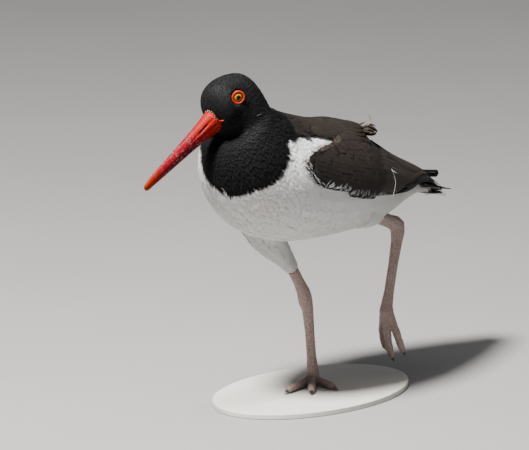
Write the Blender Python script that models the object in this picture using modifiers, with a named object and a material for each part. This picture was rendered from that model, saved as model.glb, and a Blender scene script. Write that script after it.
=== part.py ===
"""American oystercatcher, life size, walking on a plain display base.

The bird faces -Y, its left side is +X and +Z is up; the origin is the centre of the base's underside.
Lengths are metres. The flesh is one loft parted by thin cuts; wings and tail are feather vanes laid
over a shell that follows the body.
"""

import math

import bmesh
import bpy
from mathutils import Matrix, Vector

MM = 0.001
GAP = 0.3 * MM

# The side view is drawn in millimetres: how far ahead of the planted foot, how high above the floor.
BASE_THICK = 4.0 * MM
BASE_LENGTH = 172.0 * MM
BASE_WIDTH = 112.0 * MM
BASE_RIM = 0.7 * MM
FOOT_Y = 12.0 * MM
FLOOR = BASE_THICK + GAP

# The head: the point between the eyes, how far the bill dips, how far the face turns to its right.
BETWEEN_EYES = (102.0, 229.8)
HEAD_DIP = math.radians(33)
HEAD_TURN = math.radians(10)
TURN_PIVOT = 84.0

# Sections of the trunk and neck: point on the back, point on the belly, half width.
TRUNK = (
    ("tail root", (-114, 127.5), (-115, 122.5), 8.0),
    ("vent", (-102, 132.5), (-104, 124.8), 13.8),
    ("undertail", (-84, 142.5), (-88, 124.7), 18.9),
    ("rump", (-60, 156.8), (-66, 120.0), 28.3),
    ("loin", (-36, 172.8), (-42, 112.8), 35.9),
    ("midriff", (-8, 188.5), (-14, 111.5), 43.4),
    ("waist", (18, 196), (16, 111.8), 45.9),
    ("keel", (40, 202.7), (47, 114.5), 46.0),
    ("low breast", (51, 206.5), (73, 121.5), 44.5),
    ("breast", (57, 209.0), (93.5, 134), 41.3),
    ("crop", (60, 211.0), (108.3, 152), 37.3),
    ("high breast", (62, 212.6), (114, 170), 33.0),
    ("bib", (64, 214.3), (114, 183), 28.5),
    ("neck", (66.5, 216.6), (110.5, 192.5), 25.0),
)
# The same for the head, measured along the bill and square to it from between the eyes.
SKULL = (
    ("nape", (-23.5, -23.5), (17, -25.5), 20.3),
    ("poll", (-23.6, -11), (18, -23.3), 18.5),
    ("hind crown", (-20.0, 0.5), (18.8, -21.5), 17.3),
    ("crown", (-11.6, 7.7), (19.3, -20.5), 16.9),
    ("brow", (0, 11.6), (19.6, -19.6), 17.0),
    ("forehead", (9.3, 10.5), (19.8, -18.8), 14.8),
    ("front", (14.4, 6.4), (20, -17.8), 11.4),
    ("lores", (17.6, 1.0), (20.2, -16.5), 7.7),
    ("bill root", (20.5, -5), (20.5, -14), 5.0),
)
FLESH_SEGMENTS = 28
RINGS_PER_STATION = 2
BIB_EDGE = ((115.5, 152), (46, 213))
THROAT_CUT = ((68, 217.0), (114, 200.0))
TAIL_CUT = ((-99, 115), (-97, 145))

# Bill: along, top, bottom, half width, in the head's measure.
BILL = (
    ("root", 11.0, -3.5, -17.5, 6.0),
    ("gape", 16.0, -2.0, -18.6, 6.8),
    ("base", 21.0, -1.6, -18.6, 6.5),
    ("nostril", 30.0, -2.7, -17.3, 5.5),
    ("third", 42.0, -3.7, -15.9, 4.4),
    ("middle", 55.0, -4.6, -15.0, 3.4),
    ("blade", 70.0, -5.4, -14.2, 2.5),
    ("near tip", 84.0, -6.4, -13.3, 1.8),
    ("chisel", 90.5, -7.4, -12.8, 1.3),
    ("tip", 92.5, -8.8, -11.8, 0.9),
)
BILL_SEGMENTS = 16
MOUTH = ((13.0, -9.0), (92.5, -9.9))
NOSTRIL = ((27.5, -6.3), (35.0, -7.0))
NOSTRIL_HALF = 0.55

# Eyes: where each one looks out, the ball, and the ring of bare lid around it.
EYE_BACK = 0.2
EYE_LOW = 0.9
EYE_SIDE = 12.6
EYE_AHEAD = math.radians(22)
EYE_RAISE = math.radians(9)
EYE_RADIUS = 4.1
LID_PLANE = 3.2
LID_RING = 4.2
LID_TUBE = 0.68

# Legs from the flesh down: place (ahead, height, left), half width across, half depth fore and aft.
RIGHT_LEG = (
    ("thigh", (
        ((48, 128, -17), 16.0, 17.0), ((42, 114, -15), 12.5, 13.5), ((34.5, 104, -12.5), 9.0, 10.0),
        ((28, 96, -10), 6.2, 6.8), ((22, 87.3, -8.2), 4.3, 4.8),
    )),
    ("shank", (
        ((22, 87.3, -8.2), 3.7, 4.2), ((17, 78, -7), 3.6, 4.2), ((13, 70, -6), 4.5, 5.0),
        ((11.8, 66.5, -6), 4.8, 5.4),
    )),
    ("tarsus", (
        ((11.8, 66.5, -6), 4.8, 5.4), ((10.4, 62, -6), 4.7, 5.3), ((8.3, 56.5, -6), 3.6, 4.5),
        ((4.7, 38, -7), 3.0, 3.6), ((2.0, 20, -7.7), 3.1, 3.7), ((0.5, 11.5, -8), 3.9, 4.4),
    )),
    ("foot", (
        ((0.5, 11.5, -8), 3.9, 4.4), ((0.2, 7.5, -8), 4.4, 5.0), ((0, 3.5, -8), 4.4, 5.0),
        ((0, 0.4, -8), 3.2, 3.8),
    )),
)
LEFT_LEG = (
    ("thigh", (
        ((-12, 130, 24), 13.0, 14.0), ((-22, 125.6, 22.6), 10.4, 11.2), ((-31, 122.6, 21.0), 7.8, 8.6),
        ((-38.5, 119.8, 19.6), 5.4, 6.0),
    )),
    ("shank", (
        ((-38.5, 119.8, 19.6), 4.4, 5.2), ((-47.7, 115.9, 17.9), 4.1, 4.9), ((-56, 112.7, 16.5), 4.0, 4.9),
        ((-62.5, 110.0, 15.4), 4.6, 5.6),
        ((-66.2, 107.2, 15), 4.9, 6.2),
    )),
    ("tarsus", (
        ((-66.2, 107.2, 15), 4.9, 6.2), ((-66.9, 102.5, 15), 4.6, 5.6), ((-65.8, 96, 15), 3.7, 4.7),
        ((-61.9, 80, 15), 3.1, 3.9), ((-57.4, 61, 15), 3.2, 3.9), ((-54.8, 51, 15), 4.1, 4.6),
    )),
    ("foot", (
        ((-54.8, 51, 15), 4.1, 4.6), ((-54.2, 47.3, 15.2), 5.0, 5.4), ((-53.8, 43.0, 15.4), 4.8, 4.8),
        ((-53.6, 39.5, 15.4), 3.4, 3.2),
    )),
)
LIMB_SEGMENTS = 12
# Toes: the middle line from the foot to the end of the claw.
RIGHT_TOES = (
    ("inner", ((0.5, 3.6, -5), (2.3, 3.0, 4), (4.4, 2.7, 12.5), (6.6, 0.9, 20.5))),
    ("middle", ((3, 3.8, -6), (12.5, 3.0, 1.3), (21.5, 2.7, 8.6), (27.5, 0.9, 13.5))),
    ("outer", ((3.5, 3.6, -8), (16.5, 3.0, -5.8), (30, 2.7, -3.7), (38, 0.9, -2.5))),
)
LEFT_TOES = (
    ("inner", ((-54.3, 44.5, 12.8), (-56.8, 32, 9.4), (-59.8, 21, 8.6), (-63.0, 14, 9.5))),
    ("middle", ((-53.8, 43.5, 15.5), (-53.8, 29.5, 16.4), (-57.2, 16.5, 16.4), (-62.0, 8.2, 16))),
    ("outer", ((-54.5, 44.5, 18), (-56.5, 32, 22.4), (-60.6, 20.5, 23.8), (-65.6, 13.2, 23.3))),
)
TOE_SEGMENTS = 8

# Shell over which the wings are laid, from beyond the wing tips forward.
SHELL = (
    ("beyond", (-162, 109), (-163, 106), 3.0),
    ("tips", (-142, 117.2), (-143, 113.5), 5.5),
    ("primaries", (-124, 125), (-126, 113.5), 10.5),
    ("tertial ends", (-104, 138.5), (-107, 113), 18.0),
    ("undertail", (-84, 149), (-88, 112), 25.5),
    ("rump", (-60, 160.5), (-66, 110), 31.5),
    ("loin", (-36, 176), (-42, 109), 37.5),
    ("midriff", (-8, 190.7), (-14, 109), 44.7),
    ("waist", (18, 197), (16, 109.5), 46.9),
    ("keel", (40, 203.5), (47, 113.5), 46.9),
    ("low breast", (51, 207.3), (73, 120.5), 45.3),
    ("breast", (57, 209.8), (93.5, 133), 42.0),
    ("crop", (60, 211.8), (108.3, 151), 38.0),
)
SHOULDER = (58, 190)
SHOULDER_OUT = 28
CORE_LOW = 1.0
CORE_HIGH = 2.1
RIGHT_TIP_RAISE = 10.0
# Plates under the vanes, each row from its lower to its upper end: ahead and degrees round the body.
WING_PLATE = (
    ((66, 13), (63, 25)), ((53, 4), (51, 33)), ((38, 0), (38, 42)), ((22, -3), (20, 49)),
    ((6, -6), (4, 55)), ((-12, -8), (-12, 72)), ((-32, -9), (-32, 89.5)), ((-56, -4), (-56, 89.5)),
    ((-80, 14), (-80, 89.5)), ((-104, 24), (-104, 89)), ((-124, 32), (-124, 86)),
)
MANTLE_PLATE = (
    ((61, 48), (52.5, 89.5)), ((40, 50), (36, 89.5)), ((14, 53), (14, 89.5)), ((-16, 52), (-16, 89.5)),
)
# Rows of vanes: count, roots (low and high end), tips (low and high end), width, tip lift.
WING_ROWS = (
    ("scapulars", 3, ((30, 62), (24, 83)), ((0, 57), (-8, 82)), 14.5, 3.2),
    ("long scapulars", 3, ((2, 57), (-6, 83)), ((-15, 53), (-28, 80)), 15.5, 8.0),
    ("lesser coverts", 4, ((54, 15), (4, 52)), ((34, 11), (-18, 48)), 14.0, 2.9),
    ("median coverts", 5, ((38, 8), (-14, 49)), ((14, 4), (-42, 44)), 12.0, 3.0),
    ("greater coverts", 5, ((20, 3), (-32, 44)), ((-14, 0), (-68, 40)), 12.0, 3.0),
    ("secondaries", 5, ((-6, -3), (-48, 38)), ((-48, -2), (-90, 36)), 11.0, 2.7),
    ("tertials", 4, ((-36, 50), (-42, 80)), ((-90, 42), (-112, 74)), 12.0, 3.4),
    ("primaries", 5, ((-50, 2), (-84, 60)), ((-92, 24), (-138, 62)), 8.0, 2.4),
)
VANE_THICK = 0.6
VANE_TILT = 0.45

# Tail: pairs of vanes, the middle line of the first of them.
TAIL_PAIRS = 5
TAIL_ROOT = (-101, 126.2)
TAIL_TIP = (-131.0, 119.9)
TAIL_HALF = 4.6
TAIL_STEP_DOWN = 0.62
TAIL_STEP_OUT = 1.9


def remove_everything():
    for item in list(bpy.data.objects):
        bpy.data.objects.remove(item, do_unlink=True)


def collection(name):
    made = bpy.data.collections.new(name)
    bpy.context.scene.collection.children.link(made)
    return made


def material(name, colour, roughness=0.8):
    made = bpy.data.materials.new(name)
    made.use_nodes = True
    shader = made.node_tree.nodes["Principled BSDF"]
    shader.inputs["Base Color"].default_value = (*colour, 1.0)
    shader.inputs["Roughness"].default_value = roughness
    shader.inputs["Metallic"].default_value = 0.0
    return made


def place(ahead, height, left=0.0):
    """A point of the side view, in metres."""
    return Vector((left * MM, FOOT_Y - ahead * MM, FLOOR + height * MM))


def on_head(along, above):
    """A point given along the bill from between the eyes, back in the side view."""
    ahead = BETWEEN_EYES[0] + along * math.cos(HEAD_DIP) + above * math.sin(HEAD_DIP)
    height = BETWEEN_EYES[1] - along * math.sin(HEAD_DIP) + above * math.cos(HEAD_DIP)
    return ahead, height


def turned(point, share=1.0):
    """Swing a point of the head to the bird's right about an upright through the neck."""
    pivot = place(TURN_PIVOT, 0)
    return Matrix.Rotation(-HEAD_TURN * share, 4, "Z") @ (point - pivot) + pivot


def in_head(along, above, left):
    """A point of the turned head, in metres."""
    return turned(place(*on_head(along, above), left))


def smooth(rows, at):
    """Values between rows on a smooth curve through them; at counts rows from 0."""
    k = min(int(at), len(rows) - 2)
    t = at - k
    a, b = rows[k], rows[k + 1]
    before, after = rows[max(k - 1, 0)], rows[min(k + 2, len(rows) - 1)]
    values = []
    for i in range(len(a)):
        ma, mb = (b[i] - before[i]) / 2, (after[i] - a[i]) / 2
        values.append(
            (2 * t**3 - 3 * t**2 + 1) * a[i]
            + (t**3 - 2 * t**2 + t) * ma
            + (3 * t**2 - 2 * t**3) * b[i]
            + (t**3 - t**2) * mb
        )
    return values


def oval(row, angle):
    """Ahead, height and left of a section's point: angle 0 on the left flank, 90 on the back."""
    back_ahead, back_high, belly_ahead, belly_high, width = row
    up = 0.5 + 0.5 * math.sin(math.radians(angle))
    ahead = belly_ahead + (back_ahead - belly_ahead) * up
    height = belly_high + (back_high - belly_high) * up
    return ahead, height, width * math.cos(math.radians(angle))


def link(name, mesh, group, paint=None):
    made = bpy.data.objects.new(name, mesh)
    group.objects.link(made)
    if paint:
        mesh.materials.append(paint)
    return made


def mesh_of(name, shape):
    bmesh.ops.recalc_face_normals(shape, faces=shape.faces)
    mesh = bpy.data.meshes.new(name)
    shape.to_mesh(mesh)
    shape.free()
    return mesh


def loft(name, rings, group, paint=None):
    """A closed surface through the rings, which all have the same number of points."""
    shape = bmesh.new()
    rows = [[shape.verts.new(point) for point in ring] for ring in rings]
    count = len(rings[0])
    for near, far in zip(rows, rows[1:]):
        for i in range(count):
            j = (i + 1) % count
            shape.faces.new((near[i], near[j], far[j], far[i]))
    for row in (rows[0], rows[-1]):
        middle = shape.verts.new(sum((v.co for v in row), Vector()) / count)
        for i in range(count):
            shape.faces.new((row[i], row[(i + 1) % count], middle))
    return link(name, mesh_of(name, shape), group, paint)


def trunk_rows(table):
    return [(*back, *belly, width) for _, back, belly, width in table]


def flesh_rings():
    rows = trunk_rows(TRUNK)
    rows += [(*on_head(*back), *on_head(*belly), width) for _, back, belly, width in SKULL]
    rings = []
    for i in range((len(rows) - 1) * RINGS_PER_STATION + 1):
        at = i / RINGS_PER_STATION
        row = smooth(rows, at)
        share = min(max((at - 9.0) / (len(TRUNK) - 8.0), 0.0), 1.0)
        share = share * share * (3 - 2 * share)
        angles = [360.0 * k / FLESH_SEGMENTS for k in range(FLESH_SEGMENTS)]
        rings.append([turned(place(*oval(row, a)), share) for a in angles])
    return rings


def side_plane(line, kept):
    """An upright-view plane through two points of the side view, facing a third that is kept."""
    a, b = place(*line[0]), place(*line[1])
    normal = Vector((0, -(b - a).z, (b - a).y)).normalized()
    if normal.dot(place(*kept) - a) < 0:
        normal = -normal
    return a, normal


def mouth_plane(kept_above):
    a, b = in_head(*MOUTH[0], 0), in_head(*MOUTH[1], 0)
    across = in_head(*MOUTH[0], 1) - a
    normal = across.cross(b - a).normalized()
    if (normal.z > 0) != kept_above:
        normal = -normal
    return a, normal


def cut(name, source, planes, group, paint):
    """The piece of a closed mesh in front of every plane, drawn back by half a gap from each."""
    shape = bmesh.new()
    shape.from_mesh(source.data)
    for point, normal in planes:
        bmesh.ops.bisect_plane(
            shape, geom=shape.verts[:] + shape.edges[:] + shape.faces[:], dist=1e-7,
            plane_co=point + normal * GAP / 2, plane_no=normal, clear_inner=True,
        )
        rim = [edge for edge in shape.edges if edge.is_boundary]
        bmesh.ops.contextual_create(shape, geom=rim)
    bmesh.ops.triangulate(shape, faces=[f for f in shape.faces if len(f.verts) > 4])
    return link(name, mesh_of(name, shape), group, paint)


def apply_modifiers(thing):
    graph = bpy.context.evaluated_depsgraph_get()
    mesh = bpy.data.meshes.new_from_object(thing.evaluated_get(graph))
    thing.modifiers.clear()
    thing.data = mesh
    return thing


def boolean(thing, tool, operation):
    made = thing.modifiers.new(operation.lower(), "BOOLEAN")
    made.operation = operation
    made.solver = "EXACT"
    if isinstance(tool, bpy.types.Collection):
        made.operand_type = "COLLECTION"
        made.collection = tool
    else:
        made.object = tool
    apply_modifiers(thing)
    if isinstance(tool, bpy.types.Collection):
        for piece in list(tool.objects):
            bpy.data.objects.remove(piece, do_unlink=True)
        bpy.data.collections.remove(tool)
    return keep_largest(thing)


def keep_largest(thing):
    """Leave only the largest closed surface of a mesh, its faces out and in triangles."""
    shape = bmesh.new()
    shape.from_mesh(thing.data)
    bmesh.ops.remove_doubles(shape, verts=shape.verts, dist=1e-6)
    left = set(shape.faces)
    best = []
    while left:
        seed = left.pop()
        island, stack = [seed], [seed]
        while stack:
            for edge in stack.pop().edges:
                for face in edge.link_faces:
                    if face in left:
                        left.remove(face)
                        island.append(face)
                        stack.append(face)
        if sum(f.calc_area() for f in island) > sum(f.calc_area() for f in best):
            best = island
    kept = set(best)
    bmesh.ops.delete(shape, geom=[f for f in shape.faces if f not in kept], context="FACES")
    bmesh.ops.triangulate(shape, faces=shape.faces)
    bmesh.ops.recalc_face_normals(shape, faces=shape.faces)
    shape.to_mesh(thing.data)
    shape.free()
    return thing


def inflated(name, source, amount):
    """A cutter: a copy of a mesh grown along its normals."""
    mesh = source.data.copy()
    for vertex, normal in zip(mesh.vertices, [v.normal.copy() for v in mesh.vertices]):
        vertex.co += normal * amount
    return cutter(link(name, mesh, workshop))


def cutter(thing):
    thing.hide_render = True
    thing.display_type = "WIRE"
    return thing


def leg_rings(pieces):
    """Rings of each piece of a leg, square to the whole leg's path and a gap apart at the joints."""
    path = [place(*row[0]) for _, rows in pieces for row in rows]
    made, index = [], 0
    for _, rows in pieces:
        rings = []
        for i, (_, across, depth) in enumerate(rows):
            here = path[index]
            before = [p for p in path[:index] if (p - here).length > MM]
            after = [p for p in path[index + 1:] if (p - here).length > MM]
            run = ((after[0] if after else here) - (before[-1] if before else here)).normalized()
            shift = GAP / 2 if i == 0 and before else -GAP / 2 if i == len(rows) - 1 and after else 0.0
            rings.append(ring_round(here + run * shift, run, across, depth, LIMB_SEGMENTS))
            index += 1
        made.append(rings)
    return made


def ring_round(centre, run, across, depth, segments, ahead=Vector((0, -1, 0))):
    """An oval ring square to a direction, its depth measured towards ahead."""
    fore = (ahead - run * run.dot(ahead)).normalized()
    side = run.cross(fore).normalized()
    ring = []
    for k in range(segments):
        angle = 2 * math.pi * k / segments
        ring.append(centre + (side * across * math.cos(angle) + fore * depth * math.sin(angle)) * MM)
    return ring


def stand(thing, centre, axis):
    """Place a primitive at a point with its own Z along an axis."""
    thing.location = centre
    thing.rotation_euler = axis.to_track_quat("Z", "Y").to_euler()
    return thing


def hang_from(thing, point):
    """Move a node's origin to the point it grows from, with its shape left where it is."""
    thing.data.transform(Matrix.Translation(thing.location - point))
    thing.location = point
    return thing


def ball(name, radius, segments, group, paint=None):
    shape = bmesh.new()
    bmesh.ops.create_uvsphere(shape, u_segments=segments, v_segments=segments // 2, radius=radius * MM)
    mesh = bpy.data.meshes.new(name)
    shape.to_mesh(mesh)
    shape.free()
    return link(name, mesh, group, paint)


def drum(name, radius, low, high, segments, group):
    """A closed cylinder along Z between two heights."""
    shape = bmesh.new()
    bmesh.ops.create_cone(
        shape, cap_ends=True, segments=segments, radius1=radius * MM, radius2=radius * MM,
        depth=(high - low) * MM, matrix=Matrix.Translation((0, 0, (high + low) / 2 * MM)),
    )
    mesh = bpy.data.meshes.new(name)
    shape.to_mesh(mesh)
    shape.free()
    return link(name, mesh, group)


SHELL_ROWS = trunk_rows(SHELL)


def on_shell(ahead, angle, lift):
    """Point and outward normal over the body at a distance ahead and an angle round it."""
    low, high = 0.0, len(SHELL_ROWS) - 1.0
    for _ in range(24):
        middle = (low + high) / 2
        if oval(smooth(SHELL_ROWS, middle), angle)[0] < ahead:
            low = middle
        else:
            high = middle
    here = place(*oval(smooth(SHELL_ROWS, low), angle))
    step = 0.05 if low < len(SHELL_ROWS) - 1.1 else -0.05
    along = (place(*oval(smooth(SHELL_ROWS, low + step), angle)) - here) * (1 if step > 0 else -1)
    around = place(*oval(smooth(SHELL_ROWS, low), angle + 1)) - here
    normal = around.cross(along).normalized()
    if normal.dot(here - place(ahead, 150 if ahead > -40 else 116)) < 0:
        normal = -normal
    return here + normal * lift * MM, normal


def plate(name, rows, low, high, columns, group):
    """A curved plate over the shell between two lifts, in rows from a lower to an upper end."""
    shape = bmesh.new()
    layers = []
    for lift in (low, high):
        grid = []
        for first, last in rows:
            spots = [mix(first, last, k / columns) for k in range(columns + 1)]
            grid.append([shape.verts.new(on_shell(*spot, lift)[0]) for spot in spots])
        layers.append(grid)
    under, over = layers
    for i in range(len(rows) - 1):
        for k in range(columns):
            for g in (under, over):
                shape.faces.new((g[i][k], g[i + 1][k], g[i + 1][k + 1]))
                shape.faces.new((g[i][k], g[i + 1][k + 1], g[i][k + 1]))
        for k in (0, columns):
            shape.faces.new((under[i][k], under[i + 1][k], over[i + 1][k], over[i][k]))
    for i in (0, len(rows) - 1):
        for k in range(columns):
            shape.faces.new((under[i][k], under[i][k + 1], over[i][k + 1], over[i][k]))
    return link(name, mesh_of(name, shape), group)


VANE_PROFILE = ((0.0, 0.55), (0.45, 0.95), (0.78, 1.0), (0.93, 0.7), (1.0, 0.22))


def vane(name, stations, group):
    """A flat feather through stations of point, side, normal, half width and half thickness."""
    shape = bmesh.new()
    rows = []
    for point, side, normal, half, thick in stations:
        rows.append([shape.verts.new(point + side * half * s + normal * thick * n)
                     for s, n in ((-1, 1), (1, 1), (1, -1), (-1, -1))])
    for near, far in zip(rows, rows[1:]):
        for k in range(4):
            j = (k + 1) % 4
            if k == 2:
                shape.faces.new((near[k], near[j], far[k]))
                shape.faces.new((near[j], far[j], far[k]))
            else:
                shape.faces.new((near[k], near[j], far[j]))
                shape.faces.new((near[k], far[j], far[k]))
    shape.faces.new(rows[0])
    shape.faces.new(rows[-1])
    return link(name, mesh_of(name, shape), group)


def mix(a, b, t):
    return a[0] + (b[0] - a[0]) * t, a[1] + (b[1] - a[1]) * t


def shell_vane(name, root, tip, width, tip_lift, group):
    spots = []
    for t, share in VANE_PROFILE:
        ahead, angle = mix(root, tip, t)
        lift = 1.5 + (tip_lift - 1.5) * t**0.8
        point, normal = on_shell(ahead, angle, lift)
        spots.append((point, normal, share))
    stations = []
    for i, (point, normal, share) in enumerate(spots):
        run = spots[min(i + 1, len(spots) - 1)][0] - spots[max(i - 1, 0)][0]
        side = run.cross(normal).normalized()
        side = (side * width / 2 + normal * VANE_TILT * min(2.0 * VANE_PROFILE[i][0], 1.0)).normalized()
        thick = VANE_THICK * (1.0 if i < len(spots) - 1 else 0.6) / 2
        stations.append((point, side, normal, width / 2 * share * MM, thick * MM))
    return vane(name, stations, group)


def wing(name, side, group, paint):
    """One folded wing with its half of the mantle: plates and rows of vanes fused in one body."""
    pieces = collection(name + "_pieces")
    core = plate(name, WING_PLATE, CORE_LOW, CORE_HIGH, 3, group)
    plate(name + "_mantle", MANTLE_PLATE, CORE_LOW + 0.1, CORE_HIGH - 0.1, 2, pieces)
    for row, count, roots, tips, width, tip_lift in WING_ROWS:
        for i in range(count):
            t = i / (count - 1)
            shell_vane(f"{name}_{row}_{i}", mix(*roots, t), mix(*tips, t), width, tip_lift, pieces)
    for thing in [core, *pieces.objects]:
        for vertex in thing.data.vertices:
            spot = vertex.co
            spot.x = max(spot.x, 0.2 * MM)
            if side < 0:
                back = (FOOT_Y - spot.y) / MM
                t = min(max((-96.0 - back) / 40.0, 0.0), 1.0)
                spot.z += RIGHT_TIP_RAISE * MM * t * t * (3 - 2 * t)
                spot.x = -spot.x
        if side < 0:
            thing.data.flip_normals()
    core.data.materials.append(paint)
    boolean(core, pieces, "UNION")
    hang_from(core, place(*SHOULDER, side * SHOULDER_OUT))


def bill_rings(grow=0.0):
    rows = [row[1:] for row in BILL]
    rings = []
    for i in range((len(rows) - 1) * 2 + 1):
        along, top, bottom, half = smooth(rows, i / 2)
        if i == 0:
            along -= grow
        middle, reach = (top + bottom) / 2, (top - bottom) / 2 + grow
        turns = [2 * math.pi * k / BILL_SEGMENTS for k in range(BILL_SEGMENTS)]
        rings.append([in_head(along, middle + reach * math.sin(a), (half + grow) * math.cos(a)) for a in turns])
    return rings


def nostril_cutter():
    """A slit right through the upper bill, from side to side: a flattened cylinder."""
    slit = drum("nostril_cutter", 1.0, -9.0, 9.0, 12, workshop)
    back, front = in_head(*NOSTRIL[0], 0), in_head(*NOSTRIL[1], 0)
    run = (front - back).normalized()
    across = (in_head(*NOSTRIL[0], 1) - back).normalized()
    turn = Matrix((run, across.cross(run), across)).transposed().to_4x4()
    flat = Matrix.Diagonal(((front - back).length / 2 / MM, NOSTRIL_HALF, 1, 1))
    slit.data.transform(Matrix.Translation((front + back) / 2) @ turn @ flat)
    return cutter(slit)


def bill(group, paint):
    beak = cutter(loft("bill_whole", bill_rings(), workshop))
    upper = cut("bill_upper", beak, (mouth_plane(True),), group, paint)
    boolean(upper, nostril_cutter(), "DIFFERENCE")
    lower = cut("bill_lower", beak, (mouth_plane(False),), group, paint)
    for half in (upper, lower):
        hang_from(half, in_head(*MOUTH[0], 0))


def eye_frame(side):
    """Centre of an eyeball and the direction it looks in."""
    centre = in_head(-EYE_BACK, -EYE_LOW, side * EYE_SIDE)
    level = math.cos(EYE_RAISE)
    ahead, up, out = level * math.sin(EYE_AHEAD), math.sin(EYE_RAISE), level * math.cos(EYE_AHEAD)
    look = in_head(ahead - EYE_BACK, up - EYE_LOW, side * (EYE_SIDE + out)) - centre
    return centre, look.normalized()


def eyelid(name, centre, out, group, paint):
    """The ring of bare red skin standing round an eye."""
    bpy.ops.mesh.primitive_torus_add(
        major_radius=LID_RING * MM, minor_radius=LID_TUBE * MM, major_segments=20, minor_segments=7,
    )
    made = bpy.context.active_object
    for old in list(made.users_collection):
        old.objects.unlink(made)
    group.objects.link(made)
    made.name = made.data.name = name
    made.data.materials.append(paint)
    return stand(made, centre + out * LID_PLANE * MM, out)


def eye(side, word, head, group, ball_paint, lid_paint):
    """An eyeball and its lid, and the socket cut for both in the head."""
    centre, out = eye_frame(side)
    stand(ball("eye_" + word, EYE_RADIUS, 18, group, ball_paint), centre, out)
    eyelid("eyelid_" + word, centre, out, group, lid_paint)
    room = 0.35
    hole = cutter(stand(ball("socket_ball_" + word, EYE_RADIUS + room, 18, workshop), centre, out))
    rim = LID_RING + LID_TUBE + room
    step = LID_PLANE - LID_TUBE - room
    recess = cutter(stand(drum("socket_rim_" + word, rim, step, 12, 20, workshop), centre, out))
    boolean(head, hole, "DIFFERENCE")
    boolean(head, recess, "DIFFERENCE")


def leg(word, pieces, toes, group, feather_paint, skin_paint, claw_paint, body):
    rings = dict(zip([name for name, _ in pieces], leg_rings(pieces)))
    around = inflated("thigh_cutter_" + word, body, 0.4 * MM)
    thigh = loft("thigh_" + word, rings["thigh"], group, feather_paint)
    shank = loft("shank_" + word, rings["shank"], group, skin_paint)
    boolean(thigh, around, "DIFFERENCE")
    boolean(shank, around, "DIFFERENCE")
    tarsus = loft("tarsus_" + word, rings["tarsus"], group, skin_paint)
    foot = loft("foot_" + word, rings["foot"], group, skin_paint)
    digits = collection("toes_" + word)
    for name, path in toes:
        loft(f"toe_{word}_{name}", toe_rings(path, TOE_PROFILE), digits)
        horn = loft(f"claw_{word}_{name}", toe_rings(path, CLAW_PROFILE), group, claw_paint)
        hang_from(horn, toe_line(path, CLAW_PROFILE[0][0])[0])
    boolean(foot, digits, "UNION")
    for bone, (_, rows) in zip((thigh, shank, tarsus, foot), pieces):
        hang_from(bone, place(*rows[0][0]))


def toe_line(path, at):
    """A point and a direction on the smooth line of a toe; at runs from 0 to 1 at the claw's end."""
    spots = [tuple(p) for p in path]
    here = place(*smooth(spots, at * (len(spots) - 1)))
    ahead = place(*smooth(spots, min(at + 0.02, 1.0) * (len(spots) - 1)))
    behind = place(*smooth(spots, max(at - 0.02, 0.0) * (len(spots) - 1)))
    return here, (ahead - behind).normalized()


TOE_PROFILE = (
    (0.0, 3.2, 3.1), (0.12, 3.1, 2.9), (0.25, 2.7, 2.5), (0.34, 3.0, 2.8), (0.46, 2.6, 2.4),
    (0.56, 2.8, 2.6), (0.66, 2.4, 2.2), (0.75, 2.4, 2.2), (0.80, 1.6, 1.6),
)
CLAW_PROFILE = ((0.815, 1.4, 1.3), (0.88, 1.3, 1.1), (0.94, 1.0, 0.8), (1.0, 0.3, 0.25))


def toe_rings(path, profile):
    rings = []
    for at, wide, deep in profile:
        here, run = toe_line(path, at)
        up = Vector((0, 0, 1)) if abs(run.z) < 0.7 else Vector((0, -1, 0))
        ring = ring_round(here, run, wide, deep, TOE_SEGMENTS, up)
        rings.append([Vector((p.x, p.y, max(p.z, FLOOR))) for p in ring])
    return rings


def tail(source, group, paint):
    """The tail's root with its pairs of long feathers, the middle pair on top."""
    root = cut("tail", source, (side_plane(TAIL_CUT, (-110, 125)),), group, paint)
    quills = collection("tail_pieces")
    for side in (-1, 1):
        for i in range(TAIL_PAIRS):
            drop = TAIL_STEP_DOWN * (i + (0.5 if side < 0 else 0.0))
            start = place(TAIL_ROOT[0], TAIL_ROOT[1] - drop, side * (1.0 + 0.6 * TAIL_STEP_OUT * i))
            end = place(TAIL_TIP[0] + 0.9 * i, TAIL_TIP[1] - drop, side * (1.2 + TAIL_STEP_OUT * i))
            run = (end - start).normalized()
            side_way = Vector((1, 0, 0)) - run * run.x
            up = run.cross(side_way).normalized()
            up = up if up.z > 0 else -up
            stations = [(start.lerp(end, t), side_way, up, TAIL_HALF * share * MM, VANE_THICK / 2 * MM)
                        for t, share in VANE_PROFILE]
            vane(f"tail_{side}_{i}", stations, quills)
    boolean(root, quills, "UNION")
    hang_from(root, place(*TAIL_ROOT))


def base(group, paint):
    """The display base: a thin oval plate with softened rims."""
    oval_plate = drum("stand_base", 1.0, 0, BASE_THICK / MM, 48, group)
    oval_plate.data.transform(Matrix.Diagonal((BASE_WIDTH / 2 / MM, BASE_LENGTH / 2 / MM, 1, 1)))
    soft = oval_plate.modifiers.new("rim", "BEVEL")
    soft.width = BASE_RIM
    soft.segments = 2
    soft.limit_method = "ANGLE"
    soft.angle_limit = math.radians(50)
    oval_plate.data.materials.append(paint)


remove_everything()
bird = collection("oystercatcher")
workshop = collection("workshop")
BLACK = material("plumage_black", (0.012, 0.012, 0.013))
WHITE = material("plumage_white", (0.80, 0.79, 0.76))
BROWN = material("plumage_brown", (0.055, 0.042, 0.034))
BILL_RED = material("bill_red", (0.72, 0.09, 0.04), 0.35)
LID_RED = material("eyelid_red", (0.78, 0.10, 0.02), 0.45)
IRIS = material("iris_yellow", (0.85, 0.55, 0.04), 0.15)
LEG_PINK = material("leg_pink", (0.62, 0.42, 0.38), 0.6)
CLAW_DARK = material("claw_dark", (0.03, 0.027, 0.025), 0.4)
STAND = material("base_pale", (0.60, 0.58, 0.54), 0.6)

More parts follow.
